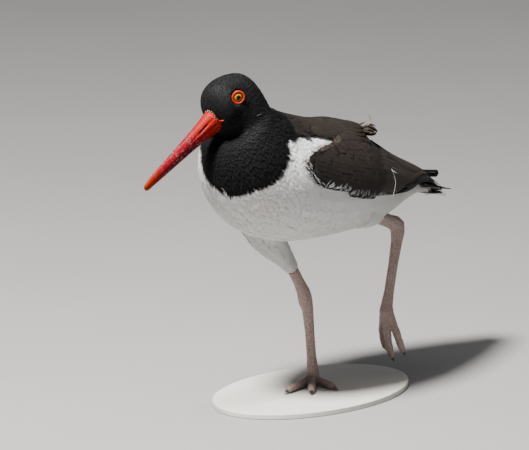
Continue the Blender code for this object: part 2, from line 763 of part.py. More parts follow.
base(bird, STAND)
whole = cutter(loft("flesh", flesh_rings(), workshop))
head = cut("head", whole, (side_plane(THROAT_CUT, (95, 235)),), bird, BLACK)
boolean(head, cutter(loft("bill_socket", bill_rings(0.3), workshop)), "DIFFERENCE")
for side, word in ((1, "left"), (-1, "right")):
    eye(side, word, head, bird, IRIS, LID_RED)
bill(bird, BILL_RED)
hang_from(head, place(*THROAT_CUT[0]))
neck = cut("neck", whole, (side_plane(THROAT_CUT, (80, 180)), side_plane(BIB_EDGE, (95, 200))), bird, BLACK)
hang_from(neck, place(*BIB_EDGE[1]))
torso = cut("torso", whole, (side_plane(BIB_EDGE, (30, 150)), side_plane(TAIL_CUT, (0, 130))), bird, WHITE)
tail(whole, bird, BROWN)
leg("right", RIGHT_LEG, RIGHT_TOES, bird, WHITE, LEG_PINK, CLAW_DARK, torso)
leg("left", LEFT_LEG, LEFT_TOES, bird, WHITE, LEG_PINK, CLAW_DARK, torso)
wing("wing_left", 1, bird, BROWN)
wing("wing_right", -1, bird, BROWN)

root = bpy.data.objects.new("oystercatcher", None)
bird.objects.link(root)
for thing in bird.objects:
    if thing.type == "MESH":
        thing.parent = root
        thing.data.shade_smooth()
        thing.data.set_sharp_from_angle(angle=math.radians(40))
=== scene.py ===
"""The oystercatcher dressed: skin, plumage, bill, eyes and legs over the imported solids.

Axes and origin are the frame's: the bird faces -Y, its left side is +X and +Z is up. Places on the bird
are given in millimetres of its side view, as in the part's source: ahead of the planted foot, height
above the display base, and to its left.
"""

import math

import bmesh
import bpy
import numpy as np
from mathutils import Matrix, Vector
from mathutils.bvhtree import BVHTree


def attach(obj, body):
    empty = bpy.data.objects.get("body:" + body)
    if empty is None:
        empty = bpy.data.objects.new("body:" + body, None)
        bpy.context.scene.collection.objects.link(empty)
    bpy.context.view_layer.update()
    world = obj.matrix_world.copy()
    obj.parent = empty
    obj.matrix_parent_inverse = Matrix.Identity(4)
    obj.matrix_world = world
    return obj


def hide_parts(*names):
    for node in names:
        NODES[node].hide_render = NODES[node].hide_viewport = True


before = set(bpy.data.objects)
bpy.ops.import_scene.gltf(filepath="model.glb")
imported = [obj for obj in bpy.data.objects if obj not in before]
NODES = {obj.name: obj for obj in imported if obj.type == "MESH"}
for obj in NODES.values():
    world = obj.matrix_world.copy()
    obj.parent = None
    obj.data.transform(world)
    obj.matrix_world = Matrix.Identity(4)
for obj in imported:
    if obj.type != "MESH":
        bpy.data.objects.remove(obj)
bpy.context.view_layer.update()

MM = 0.001

# The side view's zero and the head's measure, repeated from the part's source.
FOOT_Y = 12.0
FLOOR = 4.3
BETWEEN_EYES = (102.0, 229.8)
HEAD_DIP = math.radians(33)
HEAD_TURN = math.radians(10)
TURN_PIVOT = 84.0
BIB_EDGE = ((115.5, 152), (46, 213))
BILL_ROOT = (114.0, 211.0)
# How far the black reaches past that edge (mm) by the degrees round it, from the nape by the bird's left.
BIB_TURNS = (0, 45, 56, 72, 82, 95, 108, 122, 134, 150, 167, 176, 186, 199, 212, 227, 246, 264, 278, 288, 304, 360)
BIB_STEPS = (0, 0, 0.5, 4.6, -0.5, -2.9, -4.8, -4.7, -2.9, -1.5, -1.4, 1.1, 4.2, 7.5, 11.5, 16.5, 15, 8, 1, 4, 0, 0)

# Camera: where it looks from, and the place under the planted foot with its pixel in the photograph.
AZIMUTH = math.radians(40)
ELEVATION = math.radians(14)
DISTANCE = 6.0
PIXELS_PER_MM = 1.40
PHOTO = (529, 450)
ANCHOR = Vector((-8, 12, 4.3)) * MM
ANCHOR_PIXEL = (313, 383.5)
SENSOR = 36.0

# Bill: along, top, bottom, half width, in the head's measure.
BILL = (
    (11.0, -3.5, -17.5, 6.0), (16.0, -2.0, -18.6, 6.8), (21.0, -1.6, -18.6, 6.5),
    (30.0, -2.7, -17.3, 5.5), (42.0, -3.7, -15.9, 4.4), (55.0, -4.6, -15.0, 3.4),
    (70.0, -5.4, -14.2, 2.5), (84.0, -6.4, -13.3, 1.8), (90.5, -7.4, -12.8, 1.3),
    (92.4, -8.8, -11.8, 0.9),
)
MOUTH = ((13.0, -9.0), (92.5, -9.9))
NOSTRIL = ((27.5, -6.3), (35.0, -7.0))

# Eyes.
EYE_BACK = 0.2
EYE_LOW = 0.9
EYE_SIDE = 12.6
EYE_AHEAD = math.radians(22)
EYE_RAISE = math.radians(9)
EYE_RADIUS = 4.1
LID_PLANE = 3.2
LID_RING = 4.2
LID_TUBE = 0.68

# Shell under the wings: point on the back, point on the belly, half width.
SHELL = (
    (-162, 109, -163, 106, 3.0), (-142, 117.2, -143, 113.5, 5.5), (-124, 125, -126, 113.5, 10.5),
    (-104, 138.5, -107, 113, 18.0), (-84, 149, -88, 112, 25.5), (-60, 160.5, -66, 110, 31.5),
    (-36, 176, -42, 109, 37.5), (-8, 190.7, -14, 109, 44.7), (18, 197, 16, 109.5, 46.9),
    (40, 203.5, 47, 113.5, 46.9), (51, 207.3, 73, 120.5, 45.3), (57, 209.8, 93.5, 133, 42.0),
    (60, 211.8, 108.3, 151, 38.0),
)
RIGHT_TIP_RAISE = 10.0
# Beds of the feathers on the shell, from a lower to an upper edge: ahead and degrees round the body.
WING_BED = (
    ((66.9, 12), (65, 20)), ((61, 6), (56, 29)), ((53.9, 2), (48, 35)), ((42.7, 0), (37.2, 40)),
    ((30.9, -2), (23.6, 48)), ((18.3, -5), (10.7, 56)), ((2.2, -9.5), (-2, 64)), ((-11.5, -9.5), (-14, 74)),
    ((-36, -7.5), (-36, 89.5)), ((-51, -1), (-56, 89.5)), ((-63, 8), (-68, 89.5)), ((-72, 14), (-80, 89.5)),
    ((-88, 24), (-92, 89.5)), ((-104, 30), (-104, 89)), ((-124, 36), (-124, 86)),
)
MANTLE_BED = (
    ((68.6, 38), (59.3, 89.5)), ((56.2, 45), (48, 89.5)), ((43.9, 49), (38, 89.5)), ((30.9, 52), (27, 89.5)),
    ((14, 54.5), (14, 89.5)), ((-16, 54), (-16, 89.5)), ((-38, 58), (-38, 89.5)),
)

PATCH = 0.003


def place(ahead, height, left=0.0):
    """A point of the side view, in metres."""
    return Vector((left * MM, (FOOT_Y - ahead) * MM, (FLOOR + height) * MM))


def on_head(along, above):
    """A point given along the bill from between the eyes, back in the side view."""
    ahead = BETWEEN_EYES[0] + along * math.cos(HEAD_DIP) + above * math.sin(HEAD_DIP)
    return ahead, BETWEEN_EYES[1] - along * math.sin(HEAD_DIP) + above * math.cos(HEAD_DIP)


def in_head(along, above, left):
    """A point of the head, which is turned to the bird's right."""
    pivot = place(TURN_PIVOT, 0)
    return Matrix.Rotation(-HEAD_TURN, 4, "Z") @ (place(*on_head(along, above), left) - pivot) + pivot


def smooth(rows, at):
    """Values between rows on a smooth curve through them; at counts rows from 0."""
    k = min(int(at), len(rows) - 2)
    t = at - k
    a, b = rows[k], rows[k + 1]
    before, after = rows[max(k - 1, 0)], rows[min(k + 2, len(rows) - 1)]
    values = []
    for i in range(len(a)):
        ma, mb = (b[i] - before[i]) / 2, (after[i] - a[i]) / 2
        start, end = (2 * t**3 - 3 * t**2 + 1) * a[i], (3 * t**2 - 2 * t**3) * b[i]
        values.append(start + (t**3 - 2 * t**2 + t) * ma + end + (t**3 - t**2) * mb)
    return values


def mix(a, b, t):
    return a[0] + (b[0] - a[0]) * t, a[1] + (b[1] - a[1]) * t


def ease(low, high, value):
    """0 below low, 1 above high and a soft step between; value may be an array."""
    t = np.clip((value - low) / (high - low), 0.0, 1.0)
    return t * t * (3 - 2 * t)


def oval(row, angle):
    back_ahead, back_high, belly_ahead, belly_high, width = row
    up = 0.5 + 0.5 * math.sin(math.radians(angle))
    ahead = belly_ahead + (back_ahead - belly_ahead) * up
    return ahead, belly_high + (back_high - belly_high) * up, width * math.cos(math.radians(angle))


def on_shell(ahead, angle, side=1, lift=0.0):
    """A point over the body at a distance ahead and an angle round it, on the left or right side."""
    low, high = 0.0, len(SHELL) - 1.0
    for _ in range(20):
        middle = (low + high) / 2
        if oval(smooth(SHELL, middle), angle)[0] < ahead:
            low = middle
        else:
            high = middle
    _, height, left = oval(smooth(SHELL, low), angle)
    turn = math.radians(angle)
    left, height = max(left + lift * math.cos(turn), 0.2), height + lift * math.sin(turn)
    if side < 0:
        height += RIGHT_TIP_RAISE * float(ease(96, 136, -ahead))
    return place(ahead, height, side * left)


class Form:
    """A surface that feathers are laid on: nearest points with soft normals."""

    def __init__(self, mesh):
        self.points = np.empty(len(mesh.vertices) * 3)
        mesh.vertices.foreach_get("co", self.points)
        self.points = self.points.reshape(-1, 3)
        self.faces = [tuple(p.vertices) for p in mesh.polygons]
        soft = np.empty(len(mesh.vertices) * 3)
        mesh.vertices.foreach_get("normal", soft)
        soft = soft.reshape(-1, 3)
        self.centres = np.array([self.points[list(f)].mean(axis=0) for f in self.faces])
        self.normals = np.array([soft[list(f)].mean(axis=0) for f in self.faces])
        self.normals /= np.linalg.norm(self.normals, axis=1, keepdims=True)
        self.tree = BVHTree.FromPolygons([Vector(p) for p in self.points], self.faces)

    def nearest(self, point):
        spot, _, index, _ = self.tree.find_nearest(Vector(point))
        return np.array(spot), self.normals[index]

    def follow(self, roots, ways, lengths, shares):
        """Paths over the surface from each root: points, normals and sides at shares of the length."""
        count = len(roots)
        points = np.zeros((count, len(shares), 3))
        normals, sides = np.zeros_like(points), np.zeros_like(points)
        for i in range(count):
            here, normal = self.nearest(roots[i])
            run = ways[i] - normal * np.dot(ways[i], normal)
            run /= np.linalg.norm(run) + 1e-12
            last = 0.0
            for k, share in enumerate(shares):
                if share > last:
                    here, normal = self.nearest(here + run * lengths[i] * (share - last))
                    run = run - normal * np.dot(run, normal)
                    run /= np.linalg.norm(run) + 1e-12
                    last = share
                points[i, k], normals[i, k], sides[i, k] = here, normal, np.cross(run, normal)
        return points, normals, sides


def finish_piece(thing, slot, *nodes):
    """Ride on the only body and stand for CAD nodes, which are hidden; slot is not used."""
    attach(thing, "root")
    if nodes:
        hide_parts(*nodes)
    return thing


def add_mesh(name, mesh, paint):
    thing = bpy.data.objects.new(name, mesh)
    bpy.context.scene.collection.objects.link(thing)
    if paint:
        mesh.materials.append(paint)
    return thing


def grid_mesh(name, rings, paint, closed=True, caps=True):
    """A surface through rings of points, closed round each ring and capped at both ends if asked."""
    shape = bmesh.new()
    rows = [[shape.verts.new(p) for p in ring] for ring in rings]
    count = len(rows[0])
    for near, far in zip(rows, rows[1:]):
        for i in range(count if closed else count - 1):
            j = (i + 1) % count
            shape.faces.new((near[i], near[j], far[j], far[i]))
    if caps:
        for row in (rows[0], rows[-1]):
            middle = shape.verts.new(sum((v.co for v in row), Vector()) / count)
            for i in range(count):
                shape.faces.new((row[i], row[(i + 1) % count], middle))
    bmesh.ops.recalc_face_normals(shape, faces=shape.faces)
    mesh = bpy.data.meshes.new(name)
    shape.to_mesh(mesh)
    shape.free()
    mesh.shade_smooth()
    return add_mesh(name, mesh, paint)


# Cross-sections of a feather as (across, up): a thin barb, and a vane with its shaft in the middle.
BARB = np.array(((-1.0, 0.0), (0.0, 1.0), (1.0, 0.0)))
VANE = np.array((
    (-1.0, 0.0), (-0.5, 0.55), (-0.07, 0.6), (0.0, 1.0), (0.07, 0.6), (0.5, 0.55),
    (1.0, 0.0), (0.5, -0.35), (0.0, -0.5), (-0.5, -0.35),
))


def feather_mesh(name, points, sides, normals, halves, highs, profile, homes, tones, paint, camber=0.0, soft=0.8):
    """Many closed feathers in one mesh.

    points, sides and normals are (feather, station, 3), halves and highs (feather, station), homes the
    place of each root on the unwrapped skin and tones one number from 0 to 1 a feather. The shading
    leans towards the form's own normals by the share soft, so that the feathers merge.
    """
    count, rows, _ = points.shape
    around = len(profile)
    across, up = profile[:, 0], profile[:, 1]
    spots = (
        points[:, :, None, :]
        + sides[:, :, None, :] * (halves[:, :, None, None] * across[None, None, :, None])
        + normals[:, :, None, :] * (highs[:, :, None, None] * up[None, None, :, None])
        - normals[:, :, None, :] * (camber * halves[:, :, None, None] * (across**2)[None, None, :, None])
    )
    corners = []
    for k in range(rows - 1):
        for j in range(around):
            a, b = k * around + j, k * around + (j + 1) % around
            corners += [(a, b, b + around), (a, b + around, a + around)]
    for j in range(1, around - 1):
        last = (rows - 1) * around
        corners += [(0, j + 1, j), (last, last + j, last + j + 1)]
    corners = np.array(corners)
    size = rows * around
    faces = (corners[None] + (np.arange(count) * size)[:, None, None]).reshape(-1, 3)
    mesh = bpy.data.meshes.new(name)
    mesh.vertices.add(count * size)
    mesh.vertices.foreach_set("co", spots.reshape(-1))
    mesh.loops.add(faces.size)
    mesh.loops.foreach_set("vertex_index", faces.reshape(-1).astype(np.int32))
    mesh.polygons.add(len(faces))
    mesh.polygons.foreach_set("loop_start", np.arange(0, faces.size, 3, dtype=np.int32))
    mesh.update(calc_edges=True)
    mesh.validate()
    local = np.zeros((rows, around, 2))
    local[:, :, 0] = (across + 1) / 2
    local[:, :, 1] = (np.arange(rows) / (rows - 1))[:, None] * 0.9 + 0.1 * np.abs(up)[None, :]
    local = local.reshape(-1, 2)
    home = np.repeat(homes, size, axis=0) + np.tile(local, (count, 1)) * PATCH
    for title, values in (("OFBake", home), ("Vane", np.tile(local, (count, 1)))):
        layer = mesh.uv_layers.new(name=title)
        layer.data.foreach_set("uv", values[faces.reshape(-1)].reshape(-1))
    tone = mesh.attributes.new("tone", "FLOAT", "POINT")
    tone.data.foreach_set("value", np.repeat(tones, size))
    mesh.shade_smooth()
    own = np.empty(count * size * 3)
    mesh.vertices.foreach_get("normal", own)
    form_way = np.broadcast_to(normals[:, :, None, :], spots.shape).reshape(-1, 3)
    shading = own.reshape(-1, 3) * (1 - soft) + form_way * soft
    shading /= np.linalg.norm(shading, axis=1, keepdims=True) + 1e-9
    mesh.normals_split_custom_set_from_vertices(shading.tolist())
    return add_mesh(name, mesh, paint)


def unwrap(points):
    """Places on an unwrap of the skin: along the bird from bill to tail, and round it."""
    ahead, height = FOOT_Y - points[:, 1] / MM, points[:, 2] / MM - FLOOR
    centre = np.interp(ahead, (-140, -60, 0, 60, 90, 114), (122, 136, 151, 160, 200, 211))
    along = np.clip((130 - ahead + 0.6 * np.clip(235 - height, 0, 130)) / 380, 0.0, 1.0)
    turn = np.arctan2(points[:, 0] / MM, height - centre) / (2 * math.pi) + 0.5
    return np.stack([0.01 + 0.97 * turn, 0.01 + 0.97 * along], axis=1)


def at_share(paths, share):
    """Points of paths (feather, station, 3) with even stations at one share a feather."""
    spans = paths.shape[1] - 1
    where = np.clip(share, 0.0, 1.0) * spans
    low = np.minimum(where.astype(int), spans - 1)
    part = (where - low)[:, None]
    index = np.arange(len(paths))
    return paths[index, low] * (1 - part) + paths[index, low + 1] * part


def plumes(name, form, roots, ways, lengths, widths, lifts, barbs, thin, paint, slot, seed, curl=0.0, soft=0.8):
    """Soft feathers, each a fan of barbs along a path over the form. lifts are root and tip heights."""
    rng = np.random.default_rng(seed)
    shares = (0.0, 0.33, 0.66, 1.0)
    paths, normals, sides = form.follow(roots, ways, lengths, shares)
    count = len(roots)
    tones = rng.random(count)
    tip_lift = lifts[1] * (0.7 + 0.6 * rng.random(count))
    bend = curl * rng.normal(size=count)
    homes = unwrap(roots)
    pairs = barbs // 2
    all_parts = []
    for b in range(-pairs, pairs + 1):
        out = b / max(pairs, 1)
        start = 0.5 * abs(out) * (0.8 + 0.4 * rng.random(count))
        end = 1.0 - 0.34 * abs(out) ** 1.6 - 0.1 * rng.random(count)
        points, side, normal = [], [], []
        for s in (0.0, 0.5, 1.0):
            share = start + (end - start) * s
            here, up, way = at_share(paths, share), at_share(normals, share), at_share(sides, share)
            drift = widths * out * s**0.8 + lengths * (bend * share**2 + 0.05 * s * rng.normal(size=count))
            lift = lifts[0] + (tip_lift - lifts[0]) * share - 0.05 * widths / MM * abs(out) * s
            points.append(here + way * drift[:, None] + up * (lift * MM)[:, None])
            side.append(way)
            normal.append(up)
        all_parts.append((np.stack(points, 1), np.stack(side, 1), np.stack(normal, 1)))
    points, side, normal = (np.concatenate([part[i] for part in all_parts]) for i in range(3))
    total = len(points)
    half = np.tile(np.array((0.5, 1.0, 0.3)), (total, 1)) * (thin * MM / 2)
    half *= (0.75 + 0.5 * rng.random(total))[:, None]
    copies = 2 * pairs + 1
    tone = np.clip(np.tile(tones, copies) * 0.7 + 0.3 * rng.random(total), 0, 1)
    home = np.tile(homes, (copies, 1))
    made = feather_mesh(name, points, side, normal, half, half * 0.45, BARB, home, tone, paint, soft=soft)
    return finish_piece(made, slot)


VANE_SHARES = (0.0, 0.14, 0.3, 0.46, 0.62, 0.76, 0.87, 0.95, 1.0)
VANE_WIDTHS = (0.22, 0.62, 0.86, 0.97, 1.0, 0.95, 0.8, 0.55, 0.12)


def vanes(name, form, roots, ways, lengths, widths, lifts, paint, slot, seed, homes=None, point=0.0, curl=0.0):
    """Stiffer feathers with a shaft, each one vane along a path; lifts[1] may differ from one to the next."""
    rng = np.random.default_rng(seed)
    paths, normals, sides = form.follow(roots, ways, lengths, VANE_SHARES)
    count = len(roots)
    share = np.array(VANE_SHARES)
    tip_lift = np.broadcast_to(lifts[1], count)[:, None]
    rise = lifts[0] + (tip_lift - lifts[0]) * share[None, :] ** 0.8
    rise = rise + (0.12 * rng.random(count))[:, None]
    roll = 0.03 * rng.normal(size=count)
    side = sides + normals * roll[:, None, None]
    side /= np.linalg.norm(side, axis=2, keepdims=True)
    drift = curl * rng.normal(size=count)[:, None] * lengths[:, None] * share[None, :] ** 2
    points = paths + normals * (rise * MM)[:, :, None] + sides * drift[:, :, None]
    shape = np.array(VANE_WIDTHS) * (1 - point * share**3)
    half = shape[None, :] * widths[:, None] / 2 * (1 + 0.07 * rng.normal(size=(count, len(share))))
    high = np.tile(np.array([0.14] * 7 + [0.11, 0.06]), (count, 1)) * MM
    tone = rng.random(count)
    homes = unwrap(roots) if homes is None else homes
    made = feather_mesh(name, points, side, normals, half, high, VANE, homes, tone, paint, camber=0.10, soft=0.6)
    return finish_piece(made, slot)


def new_material(name):
    made = bpy.data.materials.new(name)
    made.use_nodes = True
    return made, made.node_tree, made.node_tree.nodes["Principled BSDF"]


def node(tree, kind, **values):
    made = tree.nodes.new(kind)
    for key, value in values.items():
        if hasattr(made, key):
            setattr(made, key, value)
        else:
            made.inputs[key.replace("_", " ")].default_value = value
    return made


def ramp(tree, source, stops):
    made = tree.nodes.new("ShaderNodeValToRGB")
    band = made.color_ramp
    band.elements[0].position, band.elements[1].position = stops[0][0], stops[-1][0]
    band.elements[0].color = (*stops[0][1], 1)
    band.elements[1].color = (*stops[-1][1], 1)
    for where, colour in stops[1:-1]:
        band.elements.new(where).color = (*colour, 1)
    tree.links.new(source, made.inputs["Fac"])
    return made.outputs["Color"]


def arithmetic(tree, operation, a, b=None):
    made = node(tree, "ShaderNodeMath", operation=operation)
    for k, value in enumerate((a, b)):
        if value is None:
            continue
        if isinstance(value, (int, float)):
            made.inputs[k].default_value = value
        else:
            tree.links.new(value, made.inputs[k])
    return made.outputs[0]


def blend_colours(tree, factor, a, b, kind="MIX"):
    made = node(tree, "ShaderNodeMix", data_type="RGBA", blend_type=kind)
    for socket, value in ((0, factor), (6, a), (7, b)):
        if isinstance(value, (int, float)):
            made.inputs[socket].default_value = value
        elif isinstance(value, tuple):
            made.inputs[socket].default_value = (*value, 1)
        else:
            tree.links.new(value, made.inputs[socket])
    return made.outputs[2]


def object_noise(tree, scale, detail=3.0):
    """Noise through the object's own space, a value from 0 to 1."""
    where = tree.nodes.new("ShaderNodeTexCoord")
    made = node(tree, "ShaderNodeTexNoise", Scale=scale, Detail=detail)
    tree.links.new(where.outputs["Object"], made.inputs["Vector"])
    return made.outputs["Fac"]


def bump(tree, shader, height, distance, strength=1.0):
    made = node(tree, "ShaderNodeBump", Strength=strength, Distance=distance)
    tree.links.new(height, made.inputs["Height"])
    tree.links.new(made.outputs["Normal"], shader.inputs["Normal"])


def distance_to(tree, point):
    """Distance from a place on the bird, in metres."""
    where = tree.nodes.new("ShaderNodeTexCoord")
    made = node(tree, "ShaderNodeVectorMath", operation="DISTANCE")
    tree.links.new(where.outputs["Object"], made.inputs[0])
    made.inputs[1].default_value = point
    return made.outputs["Value"]


def attribute(tree, name):
    made = node(tree, "ShaderNodeAttribute", attribute_name=name)
    return made.outputs["Fac"]


def plumage(name, dark, pale, roughness, shine, tinted=None, grain=90.0):
    """Soft feathers: each one's own tone between two colours, clouded by noise; tinted adds further colour, which on
    the white is stains and painted shade.
    """
    made, tree, shader = new_material(name)
    tone = arithmetic(tree, "MULTIPLY_ADD", attribute(tree, "tone"), 0.6)
    tone.node.inputs[2].default_value = 0.0
    cloud = arithmetic(tree, "MULTIPLY", object_noise(tree, grain), 0.45)
    colour = blend_colours(tree, arithmetic(tree, "ADD", tone, cloud), dark, pale)
    if tinted:
        colour = tinted(tree, colour)
    tree.links.new(colour, shader.inputs["Base Color"])
    shader.inputs["Roughness"].default_value = roughness
    shader.inputs["Specular IOR Level"].default_value = shine
    return made


def darker_front(tree, colour):
    """Brown turned to black towards the nape and the front of the wing."""
    where = tree.nodes.new("ShaderNodeTexCoord")
    split = tree.nodes.new("ShaderNodeSeparateXYZ")
    tree.links.new(where.outputs["Object"], split.inputs["Vector"])
    front = node(tree, "ShaderNodeMapRange")
    front.inputs["From Min"].default_value = place(36, 0).y
    front.inputs["From Max"].default_value = place(56, 0).y
    tree.links.new(split.outputs["Y"], front.inputs["Value"])
    return blend_colours(tree, front.outputs["Result"], colour, (0.0082, 0.0070, 0.0064))


# The white's most lit place: painted shade greys the white with distance from it.
SHOULDER = (48, 187, 40)


def stains_and_painted_shade(tree, colour):
    """The warm stain below the bib, a faint one along the belly, and painted shade that greys the white away from the
    lit shoulder.
    """
    for point, reach, share in (((95, 152, 27), 0.020, 0.30), ((60, 118, 30), 0.050, 0.10)):
        near = arithmetic(tree, "SUBTRACT", 1.0, arithmetic(tree, "DIVIDE", distance_to(tree, place(*point)), reach))
        near = arithmetic(tree, "MAXIMUM", near, 0.0)
        cloudy = arithmetic(tree, "MULTIPLY", near, arithmetic(tree, "MULTIPLY", object_noise(tree, 160.0), 2 * share))
        colour = blend_colours(tree, cloudy, colour, (0.62, 0.42, 0.22))
    # Painted shade: the white turns grey with distance from the lit shoulder.
    painted_shade = node(tree, "ShaderNodeMapRange")
    painted_shade.inputs["From Min"].default_value, painted_shade.inputs["From Max"].default_value = 0.022, 0.095
    tree.links.new(distance_to(tree, place(*SHOULDER)), painted_shade.inputs["Value"])
    return blend_colours(tree, painted_shade.outputs["Result"], colour, (0.60, 0.592, 0.572))


def vane_material(name, dark, pale, fringe, shaft, rust, roughness, fringe_share=0.5, finish=None):
    """Stiffer feathers: barbs raised obliquely from the shaft, and a paler fringe round the tip."""
    made, tree, shader = new_material(name)
    where = node(tree, "ShaderNodeUVMap", uv_map="Vane")
    split = tree.nodes.new("ShaderNodeSeparateXYZ")
    tree.links.new(where.outputs["UV"], split.inputs["Vector"])
    across = arithmetic(tree, "ABSOLUTE", arithmetic(tree, "MULTIPLY_ADD", split.outputs["X"], 2.0))
    across.node.inputs[0].links[0].from_node.inputs[2].default_value = -1.0
    tone = attribute(tree, "tone")
    cloud = arithmetic(tree, "MULTIPLY", object_noise(tree, 120.0), 0.5)
    colour = blend_colours(tree, arithmetic(tree, "MULTIPLY_ADD", tone, 0.6), dark, pale)
    colour = blend_colours(tree, cloud, colour, pale)
    rusty = arithmetic(tree, "GREATER_THAN", object_noise(tree, 260.0, 4.0), 0.56)
    colour = blend_colours(tree, arithmetic(tree, "MULTIPLY", rusty, 0.35), colour, rust)
    edge = arithmetic(tree, "MAXIMUM", arithmetic(tree, "POWER", across, 5.0), arithmetic(tree, "POWER", split.outputs["Y"], 9.0))
    edge = arithmetic(tree, "MULTIPLY", edge, fringe_share)
    colour = blend_colours(tree, edge, colour, fringe)
    middle = arithmetic(tree, "LESS_THAN", across, 0.075)
    colour = blend_colours(tree, arithmetic(tree, "MULTIPLY", middle, 0.6), colour, shaft)
    if finish:
        colour = finish(tree, colour)
    tree.links.new(colour, shader.inputs["Base Color"])
    shader.inputs["Roughness"].default_value = roughness
    shader.inputs["Specular IOR Level"].default_value = 0.15
    lean = arithmetic(tree, "ADD", arithmetic(tree, "MULTIPLY", split.outputs["Y"], 230.0), arithmetic(tree, "MULTIPLY", across, -60.0))
    barbs = arithmetic(tree, "SINE", lean)
    bump(tree, shader, barbs, 0.00012, 0.5)
    return made


def bill_material():
    """Red horn, orange at the tip, with painted shade that turns the lower half maroon and darkens the nostril slit and
    mouth line, scuffed where it probes.
    """
    made, tree, shader = new_material("bill_horn")
    along, low = attribute(tree, "along"), attribute(tree, "low")
    base, tip = (0.22, 0.006, 0.002), (0.20, 0.025, 0.002)
    colour = ramp(tree, along, (
        (0.0, base), (0.26, (0.19, 0.004, 0.003)), (0.45, (0.125, 0.002, 0.008)), (0.75, (0.135, 0.002, 0.006)),
        (0.90, (0.17, 0.010, 0.002)), (0.97, tip), (1.0, tip),
    ))
    # The middle of the bill's length, where the lower half takes painted shade and the scuffs fall.
    shade_and_wear_span = ramp(tree, along, ((0.20, (0, 0, 0)), (0.42, (1, 1, 1)), (0.70, (1, 1, 1)), (0.92, (0, 0, 0))))
    # Painted shade: the lower half darkened to maroon.
    under = blend_colours(tree, 1.0, colour, (0.34, 0.9, 1.6), "MULTIPLY")
    colour = blend_colours(tree, arithmetic(tree, "MULTIPLY", arithmetic(tree, "MULTIPLY", low, shade_and_wear_span), 0.9), colour, under)
    streak = object_noise(tree, 260.0, 5.0)
    colour = blend_colours(tree, arithmetic(tree, "MULTIPLY", streak, 0.35), colour, (0.20, 0.006, 0.006))
    specks = arithmetic(tree, "GREATER_THAN", object_noise(tree, 620.0, 4.0), 0.57)
    most = node(tree, "ShaderNodeMath", operation="MULTIPLY_ADD")
    tree.links.new(low, most.inputs[0])
    most.inputs[1].default_value, most.inputs[2].default_value = 0.50, 0.26
    worn = arithmetic(tree, "MULTIPLY", arithmetic(tree, "MULTIPLY", specks, shade_and_wear_span), most.outputs[0])
    colour = blend_colours(tree, worn, colour, (0.21, 0.155, 0.15))
    root = ramp(tree, along, ((0.0, (1, 1, 1)), (0.14, (1, 1, 1)), (0.20, (0, 0, 0))))
    flakes = arithmetic(tree, "GREATER_THAN", object_noise(tree, 1300.0, 3.0), 0.62)
    flakes = arithmetic(tree, "MULTIPLY", flakes, arithmetic(tree, "MULTIPLY", root, 0.55))
    colour = blend_colours(tree, flakes, colour, (0.40, 0.17, 0.12))
    # Painted shade in the nostril slit and along the mouth line, carried by the dark attribute.
    colour = blend_colours(tree, attribute(tree, "dark"), colour, (0.016, 0.002, 0.002))
    tree.links.new(colour, shader.inputs["Base Color"])
    shader.inputs["Roughness"].default_value = 0.5
    shader.inputs["Specular IOR Level"].default_value = 0.06
    bump(tree, shader, arithmetic(tree, "ADD", streak, worn), 0.00025, 0.5)
    return made


def eye_material():
    """Yellow iris streaked from the pupil, a dark rim, and a black pupil with a fleck at its lower front."""
    made, tree, shader = new_material("eye")
    out = attribute(tree, "out")
    streak = object_noise(tree, 1500.0, 4.0)
    at = arithmetic(tree, "ADD", out, arithmetic(tree, "MULTIPLY", arithmetic(tree, "SUBTRACT", streak, 0.5), 0.05))
    black = (0.004, 0.004, 0.005)
    colour = ramp(tree, at, (
        (0.0, black), (0.42, black), (0.46, (0.15, 0.06, 0.003)), (0.56, (0.31, 0.135, 0.002)),
        (0.80, (0.38, 0.175, 0.002)), (0.93, (0.25, 0.085, 0.002)), (1.0, (0.09, 0.016, 0.003)),
    ))
    tree.links.new(colour, shader.inputs["Base Color"])
    shader.inputs["Roughness"].default_value = 0.3
    shader.inputs["Specular IOR Level"].default_value = 0.12
    return made


def lid_material():
    made, tree, shader = new_material("eyelid_skin")
    grain = object_noise(tree, 1400.0, 4.0)
    colour = blend_colours(tree, grain, (0.26, 0.006, 0.002), (0.42, 0.026, 0.004))
    tree.links.new(colour, shader.inputs["Base Color"])
    shader.inputs["Roughness"].default_value = 0.45
    shader.inputs["Specular IOR Level"].default_value = 0.3
    shader.inputs["Subsurface Weight"].default_value = 0.15
    shader.inputs["Subsurface Scale"].default_value = 0.001
    bump(tree, shader, grain, 0.0003, 0.6)
    return made


def leg_material():
    """Scaly pink skin: small plates with darker, duller seams, and grey dust in patches."""
    made, tree, shader = new_material("leg_skin")
    where = tree.nodes.new("ShaderNodeTexCoord")
    scales = node(tree, "ShaderNodeTexVoronoi", feature="DISTANCE_TO_EDGE", Scale=520.0)
    stretch = node(tree, "ShaderNodeMapping")
    stretch.inputs["Scale"].default_value = (1.0, 1.0, 0.75)
    tree.links.new(where.outputs["Object"], stretch.inputs["Vector"])
    tree.links.new(stretch.outputs["Vector"], scales.inputs["Vector"])
    seam = ramp(tree, scales.outputs["Distance"], ((0.0, (0, 0, 0)), (0.16, (1, 1, 1))))
    cloud = object_noise(tree, 140.0)
    colour = blend_colours(tree, cloud, (0.25, 0.165, 0.147), (0.36, 0.265, 0.235))
    colour = blend_colours(tree, seam, (0.185, 0.122, 0.110), colour)
    dust = ramp(tree, object_noise(tree, 420.0, 5.0), ((0.52, (0, 0, 0)), (0.72, (1, 1, 1))))
    colour = blend_colours(tree, arithmetic(tree, "MULTIPLY", dust, 0.35), colour, (0.37, 0.338, 0.31))
    tree.links.new(colour, shader.inputs["Base Color"])
    shader.inputs["Roughness"].default_value = 0.5
    shader.inputs["Subsurface Weight"].default_value = 0.08
    shader.inputs["Subsurface Scale"].default_value = 0.0015
    bump(tree, shader, seam, 0.0004, 0.55)
    return made


